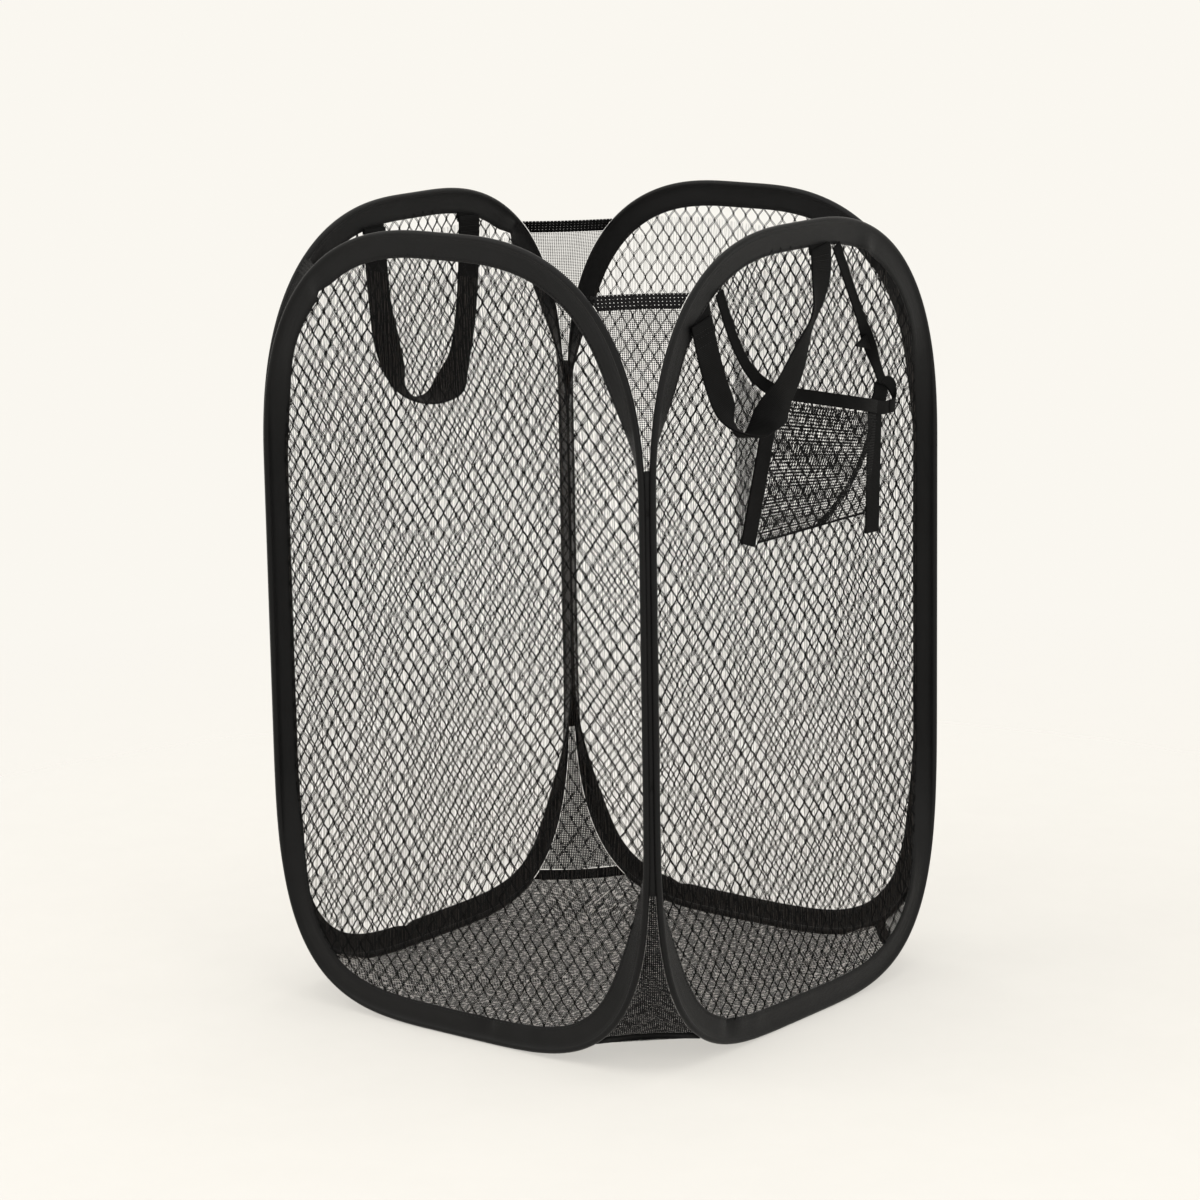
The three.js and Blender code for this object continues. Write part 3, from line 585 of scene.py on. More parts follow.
def steel():
    """Drawn spring steel wire: fine lines along it and a thin tarnish."""
    material, tree, shader = new_material("drawn_steel")
    vector, _ = place_sockets(tree, False)
    lines = noise(tree, vector, 0.5, 3.0, (1, 1, 9))
    tarnish = noise(tree, vector, 12)
    tree.links.new(ramp(tree, tarnish, (0.22, 0.22, 0.23), (0.45, 0.45, 0.46)),
                   shader.inputs["Base Color"])
    rough = put(tree, "ShaderNodeMapRange", {0: lines, 3: 0.28, 4: 0.5})
    tree.links.new(rough.outputs[0], shader.inputs["Roughness"])
    tree.links.new(bump(tree, lines, 0.03, 0.5), shader.inputs["Normal"])
    shader.inputs["Metallic"].default_value = 1.0
    return material


SATIN = cloth("satin_band", (0.0016, 0.0016, 0.0017), (0.0045, 0.0045, 0.0048), 0.40, (0.42, 0.30),
              sheen=0.02, weave_depth=0.03, specular=0.18,
              wrinkle={"size": 9, "stretch": (3.2, 0.8, 1), "depth": 0.5})
NETTING = cloth("net_thread", (0.002, 0.002, 0.002), (0.008, 0.008, 0.008), 0.7, (0.5, 0.5),
                uses_uv=False, weave_depth=0.06, specular=0.1)
FILAMENT = cloth("net_filament", (0.030, 0.024, 0.020), (0.065, 0.054, 0.046), 0.6, (0.5, 0.5),
                 uses_uv=False, weave_depth=0.04, specular=0.3)
THREAD = cloth("sewing_thread", (0.004, 0.004, 0.004), (0.014, 0.014, 0.014), 0.55, (0.3, 0.3),
               uses_uv=False, weave_depth=0.04, specular=0.15)
WEBBING = webbing_cloth("handle_webbing", (0.0016, 0.0016, 0.0016), (0.006, 0.006, 0.006), 0.62, 1.3)
TAPE = webbing_cloth("binding_tape", (0.0016, 0.0016, 0.0016), (0.005, 0.005, 0.005), 0.64, 0.9)
TULLE = see_through("gusset_mesh", (0.006, 0.006, 0.006), (0.03, 0.03, 0.03), 1.5, 0.1)
# Darker in colour than the upper gusset mesh: painted shade, as the lower corners lie in shadow with the
# dark base behind them
LOW_TULLE_PAINTED_SHADE = see_through("lower_gusset_mesh", (0.002, 0.002, 0.002), (0.010, 0.010, 0.010), 1.5, 1.35)
# The base cloth's light specks are painted glints, for light caught by the yarn's small loops
BASE_CLOTH = see_through("base_mesh_cloth", (0.002, 0.002, 0.002), (0.012, 0.012, 0.012), 1.7, 1.35,
                         painted_glints=(0.42, 0.39, 0.36))
POCKET_SIDE_CLOTH = see_through("pocket_side_cloth", (0.004, 0.004, 0.004), (0.02, 0.02, 0.02), 1.5, 0.7)
POCKET_CLOTH = see_through("pocket_mesh_cloth", (0.002, 0.002, 0.002), (0.012, 0.012, 0.012), 2.4, 0.15)
LACE = lace_cloth()
STEEL = steel()


def attach(obj, body, nodes=(), fold=None):
    """Gives a piece its body and hides the nodes it stands for; given a fold, the piece gets a mesh of its
    own.
    """
    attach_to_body(obj, body)
    if nodes:
        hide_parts(*nodes)
    if fold:
        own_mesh(obj)
    return obj


# Bands
def band_frames(panel):
    """For each station: the wire's place, the tail's direction and thickness direction."""
    turn = fin_turn(HOOP[:, 1])
    width = TAIL_END * (1 - SIDE_NARROWING_SHARE * turn / FIN_TURN)
    phase = PANELS.index(panel) * 1.7
    turn = turn + np.radians(1.8) * np.sin(HOOP_AT / 71 + phase) * np.sin(HOOP_AT / 29 + 2 * phase)
    for u, z, degrees, narrow, length in CREASES[panel]:
        nearest = int(np.argmin(np.hypot(HOOP[:, 0] - u, HOOP[:, 1] - z)))
        gap = np.abs(HOOP_AT - HOOP_AT[nearest])
        gap = np.minimum(gap, HOOP_LENGTH - gap)
        near = np.exp(-(gap / length) ** 2)
        turn = turn + math.radians(degrees) * near
        width = width * (1 - narrow * near)
    wire = np.stack([HOOP[:, 0], np.full(len(HOOP), -WIRE_PLANE), HOOP[:, 1]], 1)
    inward = np.stack([HOOP_IN[:, 0], np.zeros(len(HOOP)), HOOP_IN[:, 1]], 1)
    inside = np.array([0.0, 1.0, 0.0])
    c, s = np.cos(turn)[:, None], np.sin(turn)[:, None]
    tail = inward * c + inside * s
    face = -inward * s + inside * c
    return wire, tail, face, width


def band_section(width, extra):
    """Half of the band's section, from the tail's end to the top of the ridge."""
    arc = np.radians(np.linspace(34, 180, 9))
    half = [(width, 0.30 + extra), (width - 0.35, TAIL_HALF + extra),
            (width * 0.75, TAIL_HALF + 0.05 + extra), (width * 0.5, 0.85 + extra), (width * 0.3, 1.05)]
    half += [(RIDGE * math.cos(a), RIDGE * math.sin(a)) for a in arc]
    lower = [(x, -y) for x, y in half[::-1]][1:]
    return half + lower


def make_band(panel, turns):
    wire, tail, face, width = band_frames(panel)
    joint = np.exp(-((HOOP[:, 0] - SLEEVE_JOINT_U[panel]) / 7) ** 8) * (HOOP[:, 1] < 60)
    rings = []
    for i in range(len(HOOP)):
        section = band_section(width[i], 0.5 * joint[i])
        rings.append([wire[i] + tail[i] * x + face[i] * y for x, y in section])
    section = np.array(band_section(TAIL_END, 0))
    steps = np.linalg.norm(np.diff(np.concatenate([section, section[:1]]), axis=0), axis=1)
    girth = np.concatenate([[0], np.cumsum(steps)])
    band = loft(f"{panel}_band", quarter_turns(rings, turns), HOOP_AT, girth, SATIN, True, HOOP_LENGTH)
    attach(band, f"{panel}_panel", [f"{panel}_sleeve"], FOLDS[panel])
    points, aims = [], []
    along = np.stack([HOOP_ALONG[:, 0], np.zeros(len(HOOP)), HOOP_ALONG[:, 1]], 1)
    count = int(HOOP_LENGTH / STITCH_PITCH)
    for k in range(count):
        at = k * HOOP_LENGTH / count
        i = int(at / HOOP_LENGTH * len(HOOP)) % len(HOOP)
        j = (i + 1) % len(HOOP)
        t = at / HOOP_LENGTH * len(HOOP) - i
        for side in (1, -1):
            lift = side * (TAIL_HALF + STITCH_LIFT)
            ends = [wire[m] + tail[m] * (width[m] - STITCH_INSET) + face[m] * lift for m in (i, j)]
            points.append(ends[0] * (1 - t) + ends[1] * t)
            aims.append(along[i])
    name = f"{panel}_band_stitching"
    seam = beads(name, quarter_turns(points, turns), quarter_turns(aims, turns), (0.3, 0.3, 1.25), THREAD)
    attach(seam, f"{panel}_panel", (), FOLDS[panel])
    return band, seam


# Nets
def tail_reach(turn):
    """How far from the wire the net's edge lies, just inside the tail's end."""
    return TAIL_END * (1 - SIDE_NARROWING_SHARE * turn / FIN_TURN) - NET_TUCK


def net_edges():
    """Half width and depth of the net's edge at each height."""
    side = SIDE
    turn = fin_turn(HOOP[side, 1])
    reach = tail_reach(turn) * np.cos(turn)
    edge_u = HOOP[side, 0] + HOOP_IN[side, 0] * reach
    edge_z = HOOP[side, 1] + HOOP_IN[side, 1] * reach
    order = np.argsort(edge_z)
    return edge_u[order], edge_z[order]


EDGE_U, EDGE_Z = net_edges()


def net_place(u, z, phase):
    """Where a point of the flat net lies: it wanders a little and is drawn in at the sides."""
    half = np.interp(z, EDGE_Z, EDGE_U, left=0, right=0)
    share = np.clip(np.abs(u) / np.maximum(half, 1), 0, 1)
    turn = fin_turn(z)
    depth = tail_reach(turn) * np.sin(turn) * (0.35 + 0.65 * share ** 2)
    calm = 1 - share ** 4
    du = 1.5 * np.sin(u / 41 + z / 67 + phase) + 0.7 * np.sin(u / 17 - z / 23 + 2.1 * phase)
    dz = 1.6 * np.sin(u / 37 - z / 83 + 1.3 * phase) + 0.6 * np.sin(u / 13 + z / 31 + phase)
    return u + du * calm, -WIRE_PLANE + depth, z + dz * calm, share


def make_filaments(panel, turns, phase):
    """Fine upright filaments that wander behind the net and catch the light in its cells."""
    rng = np.random.default_rng(40 + turns)
    heights = np.arange(EDGE_Z[0], EDGE_Z[-1], FILAMENT_STEP)
    lines = []
    for place in np.arange(FILAMENT_PITCH / 2, EDGE_U.max(), FILAMENT_PITCH):
        for side in (-1, 1):
            us = side * place + rng.normal(0, 0.75, len(heights)) + rng.uniform(-0.6, 0.6)
            inside = np.where(np.abs(us) < np.interp(heights, EDGE_Z, EDGE_U, left=0, right=0))[0]
            if len(inside) > 2:
                u, y, z, _ = net_place(us[inside], heights[inside], phase)
                lines.append(quarter_turns(np.stack([u, y + 0.5, z], 1), turns))
    piece = threads(f"{panel}_net_filaments", lines, FILAMENT_RADIUS, FILAMENT)
    return attach(piece, f"{panel}_panel", (), FOLDS[panel])


def make_net(panel, turns):
    phase = 0.9 + turns * 2.3
    half = int(170 / NET_PITCH)
    low, high = EDGE_Z[0], EDGE_Z[-1]
    heights = np.arange(math.ceil(low), high, NET_PERIOD / NET_STEPS)
    lines = []
    length = 0.0
    for j in range(-half, half + 1):
        sign = 1 if j % 2 == 0 else -1
        wave = np.cos(2 * math.pi * heights / NET_PERIOD)
        centre = NET_PITCH * j + sign * NET_SWING * wave
        apart = 0.30 + 0.42 * np.abs(np.sin(2 * math.pi * heights / NET_PERIOD))
        inside = np.abs(centre) < np.interp(heights, EDGE_Z, EDGE_U, left=0, right=0)
        for strand in (-1, 1):
            u, y, z, _ = net_place(centre + strand * apart, heights, phase)
            y = y + 0.18 * strand * np.cos(math.pi * heights / NET_PERIOD)
            points = np.stack([u, y, z], 1)
            for run in np.split(np.where(inside)[0], np.where(np.diff(np.where(inside)[0]) > 1)[0] + 1):
                if len(run) > 2:
                    lines.append(quarter_turns(points[run], turns))
                    length += np.linalg.norm(np.diff(points[run], axis=0), axis=1).sum()
    net = threads(f"{panel}_netting", lines, STRAND_RADIUS, NETTING)
    attach(net, f"{panel}_panel", [f"{panel}_net"], FOLDS[panel])
    points, aims = [], []
    for j in range(-half, half):
        first = NET_PERIOD * math.ceil(low / NET_PERIOD) - (0 if j % 2 == 0 else NET_PERIOD / 2)
        zs = np.arange(first, high, NET_PERIOD)
        us = np.full(len(zs), NET_PITCH * (j + 0.5))
        keep = np.abs(us) < np.interp(zs, EDGE_Z, EDGE_U, left=0, right=0)
        u, y, z, _ = net_place(us[keep], zs[keep], phase)
        points.extend(np.stack([u, y, z], 1))
        aims.extend([(0.0, 0.0, 1.0)] * int(keep.sum()))
    knots = beads(f"{panel}_net_knots", quarter_turns(points, turns), aims, KNOT_SIZE, NETTING,
                  spread=0.2, seed=11 + turns)
    attach(knots, f"{panel}_panel", (), FOLDS[panel])
    filaments = make_filaments(panel, turns, phase)
    girth = 2 * STRAND_SIDES * STRAND_RADIUS * math.sin(math.pi / STRAND_SIDES)
    return net, [knots, filaments], length * girth / 2 * MM * MM


bands, nets = {}, {}
for turns, panel in enumerate(PANELS):
    bands[panel] = make_band(panel, turns)
    nets[panel] = make_net(panel, turns)


# Corners
def corner_edge(z, seat):
    u, n = wire_at(z)
    away = np.array([-n[0], 0, -n[1]])
    away = away / np.linalg.norm(away) + np.array([0, 1.0, 0])
    away /= np.linalg.norm(away)
    return np.array([u, -WIRE_PLANE, z]) + away * seat


def corner_rows(first, last, step, columns, seat, sag_share, crease=0.0, phase=0.0):
    rows = []
    for z in np.linspace(first, last, max(int(abs(last - first) / step), 2) + 1):
        a = corner_edge(z, seat)
        b = np.array([-a[1], -a[0], a[2]])
        width = np.linalg.norm(b - a)
        share = np.linspace(0, 1, columns)
        row = a + (b - a) * share[:, None]
        belly = np.sin(math.pi * share)
        long_fold = np.sin(z / 19 + 5 * share + phase)
        short_fold = np.sin(z / 8.3 - 9 * share + phase)
        folds = crease * belly * (long_fold + 0.6 * short_fold)
        pull = width * sag_share * belly + folds * min(width / 30, 1)
        row = row + np.outer(pull, np.array([-1, 1, 0]) / math.sqrt(2))
        rows.append(row)
    return rows


def bend(obj, node):
    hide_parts(node)
    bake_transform(obj)
    return obj


def seam_fold_rows(low, high):
    """Where the two sleeves' fabric is sewn together, from ridge to ridge."""
    rows = []
    for z in np.linspace(low, high, max(int((high - low) / 8), 2) + 1):
        u, _ = wire_at(z)
        a, b = np.array([u, -WIRE_PLANE, z]), np.array([WIRE_PLANE, -u, z])
        reach = (b - a) / np.linalg.norm(b - a) * (RIDGE - 0.5)
        rows.append([a + reach + (b - a - 2 * reach) * share for share in np.linspace(0, 1, 5)])
    return rows


SEAM_FOLDS = [
    ("lower_gusset", "fine_mesh", SEAM_FOLD_BOTTOM_Z, STRAIGHT_BOTTOM_Z),
    ("corner_seam", "thread", STRAIGHT_BOTTOM_Z, STRAIGHT_TOP_Z),
    ("upper_gusset", "fine_mesh", STRAIGHT_TOP_Z, SEAM_FOLD_TOP_Z),
]


for turns, corner in enumerate(CORNERS):
    for node, slot, low, high in SEAM_FOLDS:
        rows = quarter_turns(seam_fold_rows(low, high), turns)
        fold = thicken(grid(f"{corner}_{node}_fold", rows, SATIN), 1.0)
        bend(fold, f"{corner}_{node}")
    upper = corner_rows(STRAIGHT_TOP_Z, UPPER_HEM_Z, 4, 15, 2.9, 0.05, 0.9, turns)
    sheet = grid(f"{corner}_upper_mesh", quarter_turns(upper, turns), TULLE, (turns * 90, 0))
    bend(sheet, f"{corner}_upper_gusset")
    hem_rows = corner_rows(UPPER_HEM_Z - 0.5, UPPER_HEM_TOP, 1.5, 15, 3.2, 0.05)
    hem = thicken(grid(f"{corner}_lace_hem", quarter_turns(hem_rows, turns), LACE), 1.0)
    bend(hem, f"{corner}_upper_hem")
    lower = corner_rows(LOWER_HEM_Z, STRAIGHT_BOTTOM_Z, 4, 15, 2.9, 0.06, 1.2, 2 + turns)
    # The lower mesh's darker colour is painted shade
    sheet = grid(f"{corner}_lower_mesh", quarter_turns(lower, turns), LOW_TULLE_PAINTED_SHADE, (turns * 90, 50))
    bend(sheet, f"{corner}_lower_gusset")
    tape_rows = corner_rows(LOWER_TAPE_BOTTOM, LOWER_TAPE_TOP, 1.5, 15, 3.2, 0.06)
    tape = thicken(grid(f"{corner}_lower_binding", quarter_turns(tape_rows, turns), TAPE), 1.0)
    bend(tape, f"{corner}_lower_tape")
    # Seam thread that runs to and fro between the two ridges
    middle = (WIRE_PLANE + SIDE_WIRE_U) / 2
    zigzag = []
    for k, z in enumerate(np.arange(STRAIGHT_BOTTOM_Z + 1, STRAIGHT_TOP_Z - 1, 2.2)):
        side = 0.95 if k % 2 else -0.95
        zigzag.append((middle + side / math.sqrt(2), -middle + side / math.sqrt(2), z))
    seam = threads(f"{corner}_seam_thread", [quarter_turns(zigzag, turns)], 0.35, THREAD, 5)
    bend(seam, f"{corner}_corner_seam")


# Base: one mesh sheet with cut corners, in four parts that meet at the middle
def base_outline():
    cut = float(wire_at(LOWER_TAPE_BOTTOM)[0])
    us = np.linspace(-cut, cut, 41)
    edge = [(u, -BASE_REACH, bottom_height(u) - RIDGE + 0.4) for u in us]
    corner_z = edge[-1][2]
    middle = (cut + BASE_REACH) / 2
    return np.array([(-middle, -middle, corner_z), *edge, (middle, -middle, corner_z)])


def make_base(panel, turns):
    outline = base_outline()
    rows = []
    for share in np.linspace(0.004, 1, 32):
        rise = float(smooth(share, BASE_FLAT_SHARE, 1.0))
        row = outline * (share, share, 1)
        row[:, 2] = 0.5 + (outline[:, 2] - 0.5) * rise
        rows.append(row)
    obj = grid(f"base_{panel}_part", quarter_turns(rows, turns), BASE_CLOTH, (0, turns * 300))
    attach(obj, f"{panel}_panel", ["base_mesh"], FOLDS[panel])
    # The sewn edge is turned up along the inside of the band
    seam_rows = [outline[1:-1] + (0, 0, BASE_TURN_UP * share) for share in (0, 0.5, 1)]
    seam = thicken(grid(f"base_{panel}_seam", quarter_turns(seam_rows, turns), SATIN), 0.5)
    attach(seam, f"{panel}_panel", ["base_mesh"], FOLDS[panel])


for turns, panel in enumerate(PANELS):
    make_base(panel, turns)


# Straps
def strap_section(width, thickness):
    """Rounded edges and a slightly hollow face, as flat webbing has."""
    w, t = width / 2, thickness / 2
    side = [(w, 0.35 * t), (w - 0.35, 0.92 * t), (w - 1.4, t), (w * 0.5, 0.88 * t), (0, 0.84 * t),
            (-w * 0.5, 0.88 * t), (-w + 1.4, t), (-w + 0.35, 0.92 * t), (-w, 0.35 * t)]
    return side + [(x, -y) for x, y in side[::-1]]


def strap(name, points, turn_by, width, thickness, material, turns):
    """Flat webbing along points of the front panel's frame, turned about its own line."""
    points = np.asarray(points, float)
    outward = np.array([0, -1.0, 0])
    section = strap_section(width, thickness)
    rings = []
    for i, point in enumerate(points):
        tangent = points[min(i + 1, len(points) - 1)] - points[max(i - 1, 0)]
        tangent /= np.linalg.norm(tangent)
        flat = np.cross(tangent, outward)
        flat /= np.linalg.norm(flat)
        standing = np.cross(flat, tangent)
        across = flat * math.cos(turn_by[i]) + standing * math.sin(turn_by[i])
        normal = np.cross(tangent, across)
        normal /= np.linalg.norm(normal)
        rings.append([point + across * x + normal * y for x, y in section])
    steps = np.linalg.norm(np.diff(points, axis=0), axis=1)
    lengths = np.concatenate([[0], np.cumsum(steps)])
    sizes = np.array(section)
    girth_steps = np.linalg.norm(np.diff(np.concatenate([sizes, sizes[:1]]), axis=0), axis=1)
    girth = np.concatenate([[0], np.cumsum(girth_steps)])
    world = np.asarray(rings) + np.array([0, -WIRE_PLANE, 0])
    return loft(name, quarter_turns(world, turns), lengths, girth, material)


def rounded(points, twist, radius, count=80):
    """Even steps along a path, with its bends rounded and its two ends kept."""
    points = np.asarray(points)
    length = np.concatenate([[0], np.cumsum(np.linalg.norm(np.diff(points, axis=0), axis=1))])
    at = np.linspace(0, length[-1], count + 1)
    values = np.column_stack([points, twist])
    even = np.stack([np.interp(at, length, values[:, i]) for i in range(4)], 1)
    out = even.copy()
    for i in range(1, count):
        reach = min(at[i], at[-1] - at[i], 3 * radius)
        weight = np.exp(-((at - at[i]) / radius) ** 2) * (np.abs(at - at[i]) <= reach + 1e-6)
        out[i] = (even * weight[:, None]).sum(0) / weight.sum()
    return list(out[:, :3]), list(out[:, 3])


def handle_path(handle, outside, count=160):
    a = np.array([handle["from"], 0, band_edge(handle["from"]) - 0.3])
    b = np.array([handle["to"], 0, band_edge(handle["to"]) - 0.3])
    along = (b - a) / np.linalg.norm(b - a)
    half = np.linalg.norm(b - a) / 2
    middle = (a + b) / 2
    outward = np.array([0, -outside, 0])
    down = np.array([along[2], 0, -along[0]])
    points, twist = [], []
    for k in range(count + 1):
        angle = math.pi * k / count
        c, s = math.cos(angle), math.sin(angle)
        swing = s * s
        spread = half * math.copysign(abs(c) ** handle["leg"], c)
        depth = HANDLE_ROOT_DEPTH + (handle["depth"] - HANDLE_ROOT_DEPTH) * swing
        points.append(middle + along * (handle["skew"] * swing - spread)
                      + down * handle["drop"] * s + outward * depth)
        start = handle["starts"][0 if c > 0 else 1]
        turn = float(smooth(s, start, 1.0)) * handle["turn"] * math.pi / 2
        if c < 0:
            turn += handle["curl"] * math.exp(-((s - handle["curl_place"]) / handle["curl_length"]) ** 2)
        twist.append(outside * turn)
    return rounded(points, twist, handle["bend"])


def make_root_cover(name, path, k, outside, panel, turns):
    """The webbing's sewn end: it comes out from between the band's layers behind the strap."""
    root, low = path[k], path[k + 1 if k == 0 else k - 1]
    across = np.cross(low - root, [0, -1.0, 0])
    across /= np.linalg.norm(across) * math.copysign(1, across[0])
    rows = []
    for share in np.linspace(0, 1, 7):
        row = []
        for x in np.linspace(-0.5, 0.5, 9) * WEBBING_WIDTH:
            top = np.array([root[0] + x, 0, band_edge(root[0] + x) + ROOT_COVER])
            bottom = low + across * x
            point = top + (bottom - top) * share
            point[1] = -outside * (0.2 + 1.0 * float(smooth(share, 0.3, 0.8)))
            row.append(point + np.array([0, -WIRE_PLANE, 0]))
        rows.append(row)
    cover = thicken(grid(name, quarter_turns(rows, turns), WEBBING), 0.7)
    attach(cover, f"{panel}_panel", (), FOLDS[panel])


def make_handle(name, handle, outside, panel, turns):
    points, twist = handle_path(handle, outside)
    piece = strap(f"{name}_strap", points, twist, WEBBING_WIDTH, WEBBING_THICKNESS, WEBBING, turns)
    attach(piece, name, [name])
    for end, k in (("first", 0), ("last", len(points) - 1)):
        make_root_cover(f"{name}_{end}_root", points, k, outside, panel, turns)
    stitches, aims = [], []
    for k in (2, 3, 5, len(points) - 6, len(points) - 4, len(points) - 3):
        point = np.array(points[k])
        tangent = points[k + 1] - points[k - 1]
        tangent /= np.linalg.norm(tangent)
        across = np.cross(tangent, [0, -1.0, 0])
        across /= np.linalg.norm(across)
        normal = np.cross(tangent, across)
        for x in np.arange(-10.5, 10.6, 3.0):
            for face in (1, -1):
                stitches.append(point + across * x + normal * face * 0.72 + np.array([0, -WIRE_PLANE, 0]))
                aims.append(across)
    seam = beads(f"{name}_stitching", quarter_turns(stitches, turns), quarter_turns(aims, turns),
                 (0.28, 0.28, 1.1), THREAD)
    attach(seam, name)


make_handle("right_handle", RIGHT_HANDLE, 1, "right", 1)
make_handle("left_handle", LEFT_HANDLE, -1, "left", 3)


# Pocket
def rim_point(share):
    u = POCKET_LEFT_U + (POCKET_RIGHT_U - POCKET_LEFT_U) * share
    open_share = max(share - RIM_FLAT_SHARE, 0) / (1 - RIM_FLAT_SHARE)
    wave = max(math.sin(math.pi * open_share ** RIM_WAVE_LEAN), 0) ** RIM_WAVE_POWER
    z = RIM_LEFT_Z + (RIM_RIGHT_Z - RIM_LEFT_Z) * share
    return np.array([u, -(POCKET_ROOT_DEPTH + MOUTH_DEPTH * wave), z])


def pocket_side_u(share, z):
    """The pocket is wider at its foot, so its sides lean."""
    rim = rim_point(share)
    foot = POCKET_LEFT_FOOT_U + (POCKET_RIGHT_FOOT_U - POCKET_LEFT_FOOT_U) * share
    return foot + (rim[0] - foot) * (z - POCKET_BOTTOM_Z) / (rim[2] - POCKET_BOTTOM_Z)


def strap_root(u):
    return np.array([u, -POCKET_ROOT_DEPTH, band_edge(u) - 0.3])


def left_strap(share):
    sag = math.sin(math.pi * share) * TURN_RADIUS
    root = strap_root(STRAP_LEFT_U)
    return root + (rim_point(0) - root) * share + np.array([-sag * TURN_SWAY, 0, -sag])


def world(rows):
    return quarter_turns(np.asarray(rows) + np.array([0, -WIRE_PLANE, 0]), 1)


def rim_tape_path():
    """The left strap, the rim, and the end that goes on to the loop."""
    points = [left_strap(share) for share in np.linspace(0, 1, 22)[:-1]]
    for share in np.linspace(0, 1, 40):
        point = rim_point(share)
        point[1] = min(point[1], -LOOP_OUT * float(smooth(share, 0.45, 0.8)))
        points.append(point)
    return points + [np.array([LOOP_U, -LOOP_OUT, RIM_RIGHT_Z])]


def loop_rows():
    """The tape bends round with its width upright, then leans into the right strap."""
    top = strap_root(STRAP_RIGHT_U)
    end = np.array([LOOP_U, -LOOP_BACK, RIM_RIGHT_Z + LOOP_RISE])
    climb = (top - end) / np.linalg.norm(top - end)
    lean = math.atan2(climb[2], -climb[0])
    rows = []
    for t in np.linspace(0, 1, 26):
        rise = float(smooth(t, 0.1, 1.0))
        depth = LOOP_BACK + (LOOP_OUT - LOOP_BACK) * (1 + math.cos(math.pi * t)) / 2
        out = LOOP_REACH * max(math.sin(math.pi * t), 0) ** 0.8
        centre = np.array([LOOP_U + out, -depth, RIM_RIGHT_Z + LOOP_RISE * rise])
        angle = math.pi / 2 - lean * rise
        across = np.array([math.cos(angle), 0, math.sin(angle)])
        rows.append([centre + across * x for x in np.linspace(-0.5, 0.5, 7) * TAPE_WIDTH])
    return rows, end, top


tape_path = rim_tape_path()
rim = strap("pocket_rim", tape_path, [0.0] * len(tape_path), TAPE_WIDTH, TAPE_THICKNESS, TAPE, 1)
attach(rim, "right_panel", ["pocket_rim_tape"])
rows, strap_low, strap_high = loop_rows()
loop = thicken(grid("pocket_rim_loop", world(rows), TAPE), TAPE_THICKNESS)
attach(loop, "right_panel", ["pocket_rim_tape"])
strap_shares = np.linspace(0, 1, STRAP_STEPS)
strap_path = [strap_low + (strap_high - strap_low) * share for share in strap_shares]
strap_twist = list(STRAP_TWIST * np.exp(-((strap_shares - STRAP_TWIST_SHARE) / STRAP_TWIST_LENGTH) ** 2))
right_strap = strap("pocket_right_strap", strap_path, strap_twist, TAPE_WIDTH, TAPE_THICKNESS, TAPE, 1)
attach(right_strap, "right_panel", ["pocket_rim_tape"])
# A loose corner of the strap stands out where it is twisted
place = strap_path[STRAP_FOLD_STEP]
climb = (strap_high - strap_low) / np.linalg.norm(strap_high - strap_low)
corners = [place + climb * root for root in STRAP_FOLD_ROOTS]
tip = place + np.array(STRAP_FOLD_TIP)
rows = [[corner + (tip - corner) * share for corner in corners] for share in np.linspace(0, 0.96, 8)]
fold = thicken(grid("pocket_strap_fold", world(rows), TAPE), 0.9)
attach(fold, "right_panel", ["pocket_rim_tape"])


# Pocket front, its lining and the hem along its bottom
def front_depth(u, z):
    left, right = pocket_side_u(0, z), pocket_side_u(1, z)
    rim = rim_point(min(max((u - left) / (right - left), 0), 1))
    rise = (z - POCKET_BOTTOM_Z) / (rim[2] - TAPE_WIDTH / 2 - MESH_TOP_GAP - POCKET_BOTTOM_Z)
    return POCKET_ROOT_DEPTH + (-rim[1] - POCKET_ROOT_DEPTH) * math.sin(min(rise, 1) * math.pi / 2)


front_rows, lining_rows = [], []
inset = (BINDING_WIDTH / 2 + 0.3) / (POCKET_RIGHT_U - POCKET_LEFT_U)
for rise in np.linspace(0, 1, 24):
    row, lining = [], []
    for across in np.linspace(0, 1, 34):
        share = inset + (1 - 2 * inset) * across
        top = rim_point(share)[2] - TAPE_WIDTH / 2 - MESH_TOP_GAP
        z = POCKET_BOTTOM_Z + (top - POCKET_BOTTOM_Z) * rise
        u = pocket_side_u(share, z)
        puff = FRONT_PUFF * math.sin(math.pi * rise) * math.sin(7 * across + 3 * rise)
        row.append((u, -front_depth(u, z) - abs(puff), z))
        fold_share = LINING_FOOT_SHARE + LINING_SPREAD * rise ** 0.6
        u = pocket_side_u(inset + (fold_share - inset) * across, z)
        depth = front_depth(u, z) - LINING_DROP * math.sin(math.pi * rise) ** 0.5
        lining.append((u, -max(depth, LINING_LEAST), z))
    front_rows.append(row)
    lining_rows.append(lining)
pocket_front = grid("pocket_front", world(front_rows), POCKET_CLOTH)
attach(pocket_front, "right_panel", ["pocket_front_mesh"])
pocket_lining = grid("pocket_lining", world(lining_rows), POCKET_CLOTH, (40, 7))
attach(pocket_lining, "right_panel", ["pocket_front_mesh"])
# The lining's bound edge, which shows through the front as a dark curve
edge_path = [np.array(row[-1]) + (0, 0.9, 0) for row in lining_rows]
lining_edge = strap("pocket_lining_edge", edge_path, [0.0] * len(edge_path),
                    LINING_EDGE_WIDTH, LINING_EDGE_THICKNESS, LOW_TULLE_PAINTED_SHADE, 1)
attach(lining_edge, "right_panel", ["pocket_front_mesh"])
hem_line = world([(u, y - 0.2, z) for u, y, z in front_rows[0]])
pocket_hem = threads("pocket_bottom_hem", [hem_line], POCKET_HEM_RADIUS, TAPE, 6)
attach(pocket_hem, "right_panel", ["pocket_front_mesh"])

